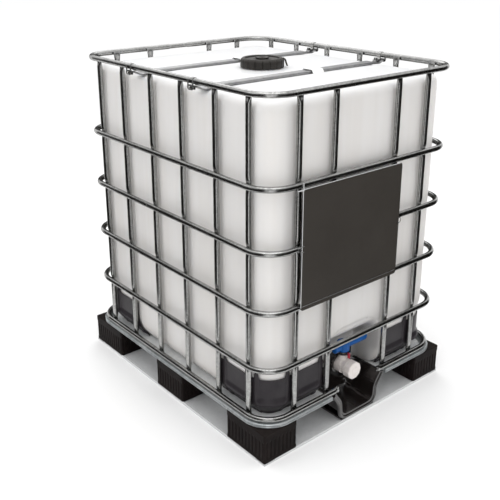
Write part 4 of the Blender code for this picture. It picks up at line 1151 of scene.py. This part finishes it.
class CONTAINER_OT_valve(bpy.types.Operator):
    """Makes the outlet valve: body, nut, collar, lever and outlet cap"""

    bl_idname = "container.valve"
    bl_label = "Make valve"

    def execute(self, context):
        back, front = VALVE_HIGH[1], VALVE_LOW[1]
        radius, bore, thread = VALVE_HIGH[0], OUTLET_BORE, 0.030
        long = back - front
        outline = [
            (bore, 0), (radius - 0.001, 0), (radius, 0.001), (radius, 0.010), (radius - 0.0030, 0.012),
            (radius - 0.0030, 0.020), (radius, 0.022), (radius, 0.0430), (radius - 0.0042, 0.0445),
            (radius - 0.0042, 0.0535), (radius - 0.0022, 0.0545), (radius - 0.0022, 0.0590), (thread, 0.0600),
            (thread, 0.0640), (thread - 0.0014, 0.0655), (thread, 0.0670),
            (thread, 0.0700), (thread - 0.0014, 0.0715), (thread, 0.0730),
            (thread, 0.0760), (thread - 0.0014, 0.0775), (thread, 0.0790),
            (thread, long - 0.003), (thread - 0.001, long), (bore, long),
        ]
        tube = ring_turned(outline, (0, back, OUTLET_Z), "-y", 64)
        z0 = OUTLET_Z
        boss_top = VALVE_HIGH[2] - z0
        boss = ring_turned(
            [(0.0068, 0.026), (0.0220, 0.026), (0.0205, 0.034), (0.0160, 0.038), (0.0150, 0.044),
             (0.0150, boss_top - 0.001), (0.0142, boss_top), (0.0068, boss_top)],
            (0, STEM_Y, z0), "z", 40)
        ears = [brick((x - 0.006, STEM_Y - 0.020, z0 - 0.010), (x + 0.006, STEM_Y + 0.020, z0 + 0.014), 0.003)
                for x in (-0.026, 0.026)]
        webs = [brick((-0.003, STEM_Y + dy - 0.0025, z0 + 0.026), (0.003, STEM_Y + dy + 0.0025, z0 + 0.046), 0.001)
                for dy in (-0.019, 0.019)]
        piece("valve_body_shell", [tube, boss, *ears, *webs], "white", ["valve_body"], 36)

        nut_low, nut_high = span("union_nut")
        nut_r, nut_long = nut_high[0], nut_high[1] - nut_low[1]
        nut = ring_turned(
            [(radius + 0.0006, 0), (nut_r - 0.006, 0), (nut_r - 0.0045, 0.001), (nut_r - 0.001, 0.004),
             (nut_r, 0.010), (nut_r, nut_long - 0.003), (nut_r - 0.003, nut_long), (radius + 0.0006, nut_long)],
            (0, nut_high[1], z0), "-y", 120, notched(10, 0.075, 0.15, 0.45, 3, 5))
        piece("union_nut_ring", [nut], "guard", ["union_nut"], 34)

        col_low, col_high = span("handle_collar")
        col_r, col_tall = col_high[0], col_high[2] - col_low[2]
        collar = ring_turned(
            [(0.0154, 0), (col_r - 0.003, 0), (col_r, 0.003), (col_r, col_tall * 0.45),
             (col_r - 0.003, col_tall * 0.55), (col_r - 0.003, col_tall - 0.0015), (col_r - 0.0045, col_tall),
             (0.0154, col_tall)],
            (0, STEM_Y, col_low[2]), "z", 40)
        stop_z = col_low[2]
        stop = brick((0.010, STEM_Y - 0.026, stop_z - 0.004), (0.022, STEM_Y - 0.012, stop_z + 0.012), 0.0015)
        piece("handle_collar_ring", [collar, stop], "guard", ["handle_collar"], 34)

        tag = brick((0.004, STEM_Y - 0.0335, z0 + 0.036), (0.0065, STEM_Y - 0.0215, z0 + 0.060), 0.001)
        piece("seal_tag", [tag], "tag", (), 40)

        self.lever()
        self.outlet_cap()
        return {"FINISHED"}

    def lever(self):
        """A ribbed hub with a bar to one side, round-ended, and a short stub to the other."""
        low, high = span("valve_handle")
        tall = high[2] - low[2]
        middle = (low[2] + high[2]) / 2
        hub_r = (high[1] - low[1]) / 2
        hub = turned(
            [(0.0066, 0.0), (hub_r - 0.004, 0.0), (hub_r - 0.001, 0.0015), (hub_r, 0.005), (hub_r, tall - 0.006),
             (hub_r - 0.001, tall - 0.0025), (hub_r - 0.004, tall - 0.0004), (0.0110, tall),
             (0.0090, tall - 0.0015), (0.0002, tall - 0.0015)],
            (0, STEM_Y, low[2]), "z", 112, notched(14, 0.03, 0.1, 0.3, 2, 5))
        parts = [hub]
        for start, end, first, last in ((0.010, high[0], 0.0158, 0.0172), (-0.006, low[0], 0.0180, 0.0192)):
            t = np.concatenate([np.linspace(0, 0.86, 10), 0.86 + 0.14 * np.sin(np.radians(np.linspace(12, 90, 8)))])
            swell = first + (last - first) * t
            round_end = np.sqrt(np.clip(1 - np.clip((t - 0.86) / 0.14, 0, 1) ** 2.6, 0.0004, 1))
            x = start + (end - start) * t
            r = (swell * round_end)[:, None]
            parts.append(skin(spread(
                x[:, None], STEM_Y + 0.82 * r * np.cos(circle(24)), middle + r * np.sin(circle(24))
            )))
        piece("valve_lever_arm", parts, "lever", ["valve_handle"], 36, "valve_lever")

    def outlet_cap(self):
        """A ten-sided cap: each radius runs out to the flat in its direction, with soft corners."""
        low, high = OUTLET_LOW, OUTLET_HIGH
        radius, long = (high[2] - low[2]) / 2, high[1] - low[1]
        flats = 10

        def facets(angle, row):
            step = 2 * np.pi / flats
            away = (angle + step / 2) % step - step / 2
            flat = np.cos(np.pi / flats) / np.cos(np.minimum(np.abs(away), step / 2) - step / 2)
            soft = 1 - 0.006 * hill(away, 0.05)
            return np.where((row >= 1) & (row <= 10), flat * soft, 0.985 * np.cos(np.pi / flats))

        outline = [
            (0.0315, 0.0), (radius - 0.004, 0.0), (radius - 0.002, 0.0006), (radius - 0.0008, 0.0022),
            (radius - 0.0006, 0.0060), (radius - 0.0030, 0.0076), (radius - 0.0030, 0.0092),
            (radius - 0.0003, 0.0110), (radius - 0.0003, long - 0.0035), (radius - 0.0035, long - 0.0006),
            (radius - 0.0085, long), (0.0200, long), (0.0180, long - 0.0016), (0.0170, long - 0.0016),
            (0.0150, long), (0.0002, long),
            (0.0002, long - 0.0070), (0.0320, long - 0.0070),
        ]
        cap = ring_turned(outline, (0, high[1], OUTLET_Z), "-y", 120, facets)
        piece("outlet_cap_shell", [cap], "white", ["outlet_cap"], 24, "outlet_cap")


class CONTAINER_OT_plain_nodes(bpy.types.Operator):
    """Gives the CAD nodes that stay their finishes"""

    bl_idname = "container.plain_nodes"
    bl_label = "Finish remaining nodes"

    def execute(self, context):
        for name, finish in (
            ("base_frame", "frame"), ("valve_disc", "white"), ("cap_seal", "seal"), ("outlet_seal", "seal"),
        ):
            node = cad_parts[name]
            if not node.material_slots:
                raise RuntimeError(f"{name} has no material slot")
            for slot in node.material_slots:
                slot.material = FINISH[finish]
        return {"FINISHED"}


class CONTAINER_OT_stage(bpy.types.Operator):
    """Makes the floor, the lights and the camera"""

    bl_idname = "container.stage"
    bl_label = "Make stage"

    def execute(self, context):
        scene = context.scene
        corners = [(-30, -30, 0), (30, -30, 0), (30, 30, 0), (-30, 30, 0)]
        floor = self.matt(scene, "floor", corners, [(0, 1, 2, 3)], (0.965, 0.965, 0.965), 0.9)
        floor.location.z = -0.0005
        self.flags(scene)
        world = bpy.data.worlds.new("studio")
        world.use_nodes = True
        world.node_tree.nodes["Background"].inputs["Color"].default_value = (1.0, 1.0, 1.0, 1.0)
        world.node_tree.nodes["Background"].inputs["Strength"].default_value = 1.04
        scene.world = world
        for name, place, aim, size, power in (
            ("key", (-0.9, -1.2, 4.4), (0, 0, 0.6), 3.4, 48.0),
            ("rear", (1.2, 2.4, 3.4), (0, 0, 0.9), 2.6, 22.0),
            ("side", (-3.6, 0.6, 2.2), (0, 0, 0.7), 2.2, 12.0),
            ("front", (-0.5, -3.0, 0.8), (0, -0.5, 0.15), 1.2, 2.4),
        ):
            data = bpy.data.lights.new(name, "AREA")
            data.size = size
            data.energy = power
            light = bpy.data.objects.new(name, data)
            scene.collection.objects.link(light)
            light.location = place
            light.rotation_euler = (Vector(aim) - Vector(place)).to_track_quat("-Z", "Y").to_euler()
        scene.view_settings.view_transform = "Standard"
        camera_data = bpy.data.cameras.new("camera")
        camera_data.lens = 54.31
        camera_data.shift_y = -0.10
        camera_data.clip_end = 200
        camera = bpy.data.objects.new("camera", camera_data)
        scene.collection.objects.link(camera)
        camera.location = (-1.986, -2.290, 1.788)
        yaw, pitch = np.radians(40.01), np.radians(18.99)
        ahead = Vector((np.sin(yaw) * np.cos(pitch), np.cos(yaw) * np.cos(pitch), -np.sin(pitch)))
        camera.rotation_euler = ahead.to_track_quat("-Z", "Y").to_euler()
        scene.camera = camera
        return {"FINISHED"}

    def matt(self, scene, name, points, faces, colour, roughness):
        """An object of the stage, in a material without shine."""
        finish = Nodes("stage_" + name, colour, roughness)
        finish.set("Specular IOR Level", 0.0)
        mesh = bpy.data.meshes.new(name)
        mesh.from_pydata(points, [], faces)
        mesh.materials.append(finish.material)
        obj = bpy.data.objects.new(name, mesh)
        scene.collection.objects.link(obj)
        return obj

    def flags(self, scene):
        """Dark screens round the object, seen only in reflections, that draw the tubes' dark sides."""
        points, faces = [], []
        for start in (-118, 2, 122):
            turn = np.radians(np.linspace(start, start + 98, 13))
            grid = np.stack([
                spread(r * np.cos(turn), r * np.sin(turn), z) for r, z in ((1.20, 0.01), (1.75, 0.05), (1.75, 1.85))
            ])
            faces += (quads(3, 13, False, False) + len(points)).tolist()
            points += grid.reshape(-1, 3).tolist()
        flag = self.matt(scene, "flags", points, faces, (0.014, 0.013, 0.012), 1.0)
        for ray in ("camera", "diffuse", "transmission", "volume_scatter", "shadow"):
            setattr(flag, "visible_" + ray, False)


STEPS = [
    "finishes", "hoops", "base_rail", "uprights", "bottle", "protectors", "deck", "feet", "frame_hems",
    "guard", "crossbars", "clamps", "plate", "filling_cap", "valve", "plain_nodes", "stage",
]


class CONTAINER_PT_panel(bpy.types.Panel):
    """Lists the container's settings and its making steps"""

    bl_idname = "CONTAINER_PT_panel"
    bl_label = "Bulk container"
    bl_space_type = "VIEW_3D"
    bl_region_type = "UI"
    bl_category = "Container"

    def draw(self, context):
        layout = self.layout
        for group in ("container_finishes", "cage_shape", "bottle_shape"):
            settings = getattr(context.scene, group)
            box = layout.box()
            for key in settings.__annotations__:
                box.prop(settings, key)
        for step in STEPS:
            layout.operator("container." + step)


GROUPS = {"container_finishes": ContainerFinishes, "cage_shape": CageShape, "bottle_shape": BottleShape}
CLASSES = [
    ContainerFinishes, CageShape, BottleShape,
    CONTAINER_OT_finishes, CONTAINER_OT_hoops, CONTAINER_OT_base_rail, CONTAINER_OT_uprights,
    CONTAINER_OT_bottle, CONTAINER_OT_protectors, CONTAINER_OT_deck, CONTAINER_OT_feet,
    CONTAINER_OT_frame_hems, CONTAINER_OT_guard, CONTAINER_OT_crossbars, CONTAINER_OT_clamps,
    CONTAINER_OT_plate, CONTAINER_OT_filling_cap, CONTAINER_OT_valve, CONTAINER_OT_plain_nodes,
    CONTAINER_OT_stage, CONTAINER_PT_panel,
]


def register():
    for cls in CLASSES:
        bpy.utils.register_class(cls)
    for name, cls in GROUPS.items():
        setattr(bpy.types.Scene, name, PointerProperty(type=cls))


def unregister():
    for name in GROUPS:
        delattr(bpy.types.Scene, name)
    for cls in reversed(CLASSES):
        bpy.utils.unregister_class(cls)


def main():
    register()
    for step in STEPS:
        if getattr(bpy.ops.container, step)() != {"FINISHED"}:
            raise RuntimeError(f"container.{step} did not finish")


if __name__ == "__main__":
    main()
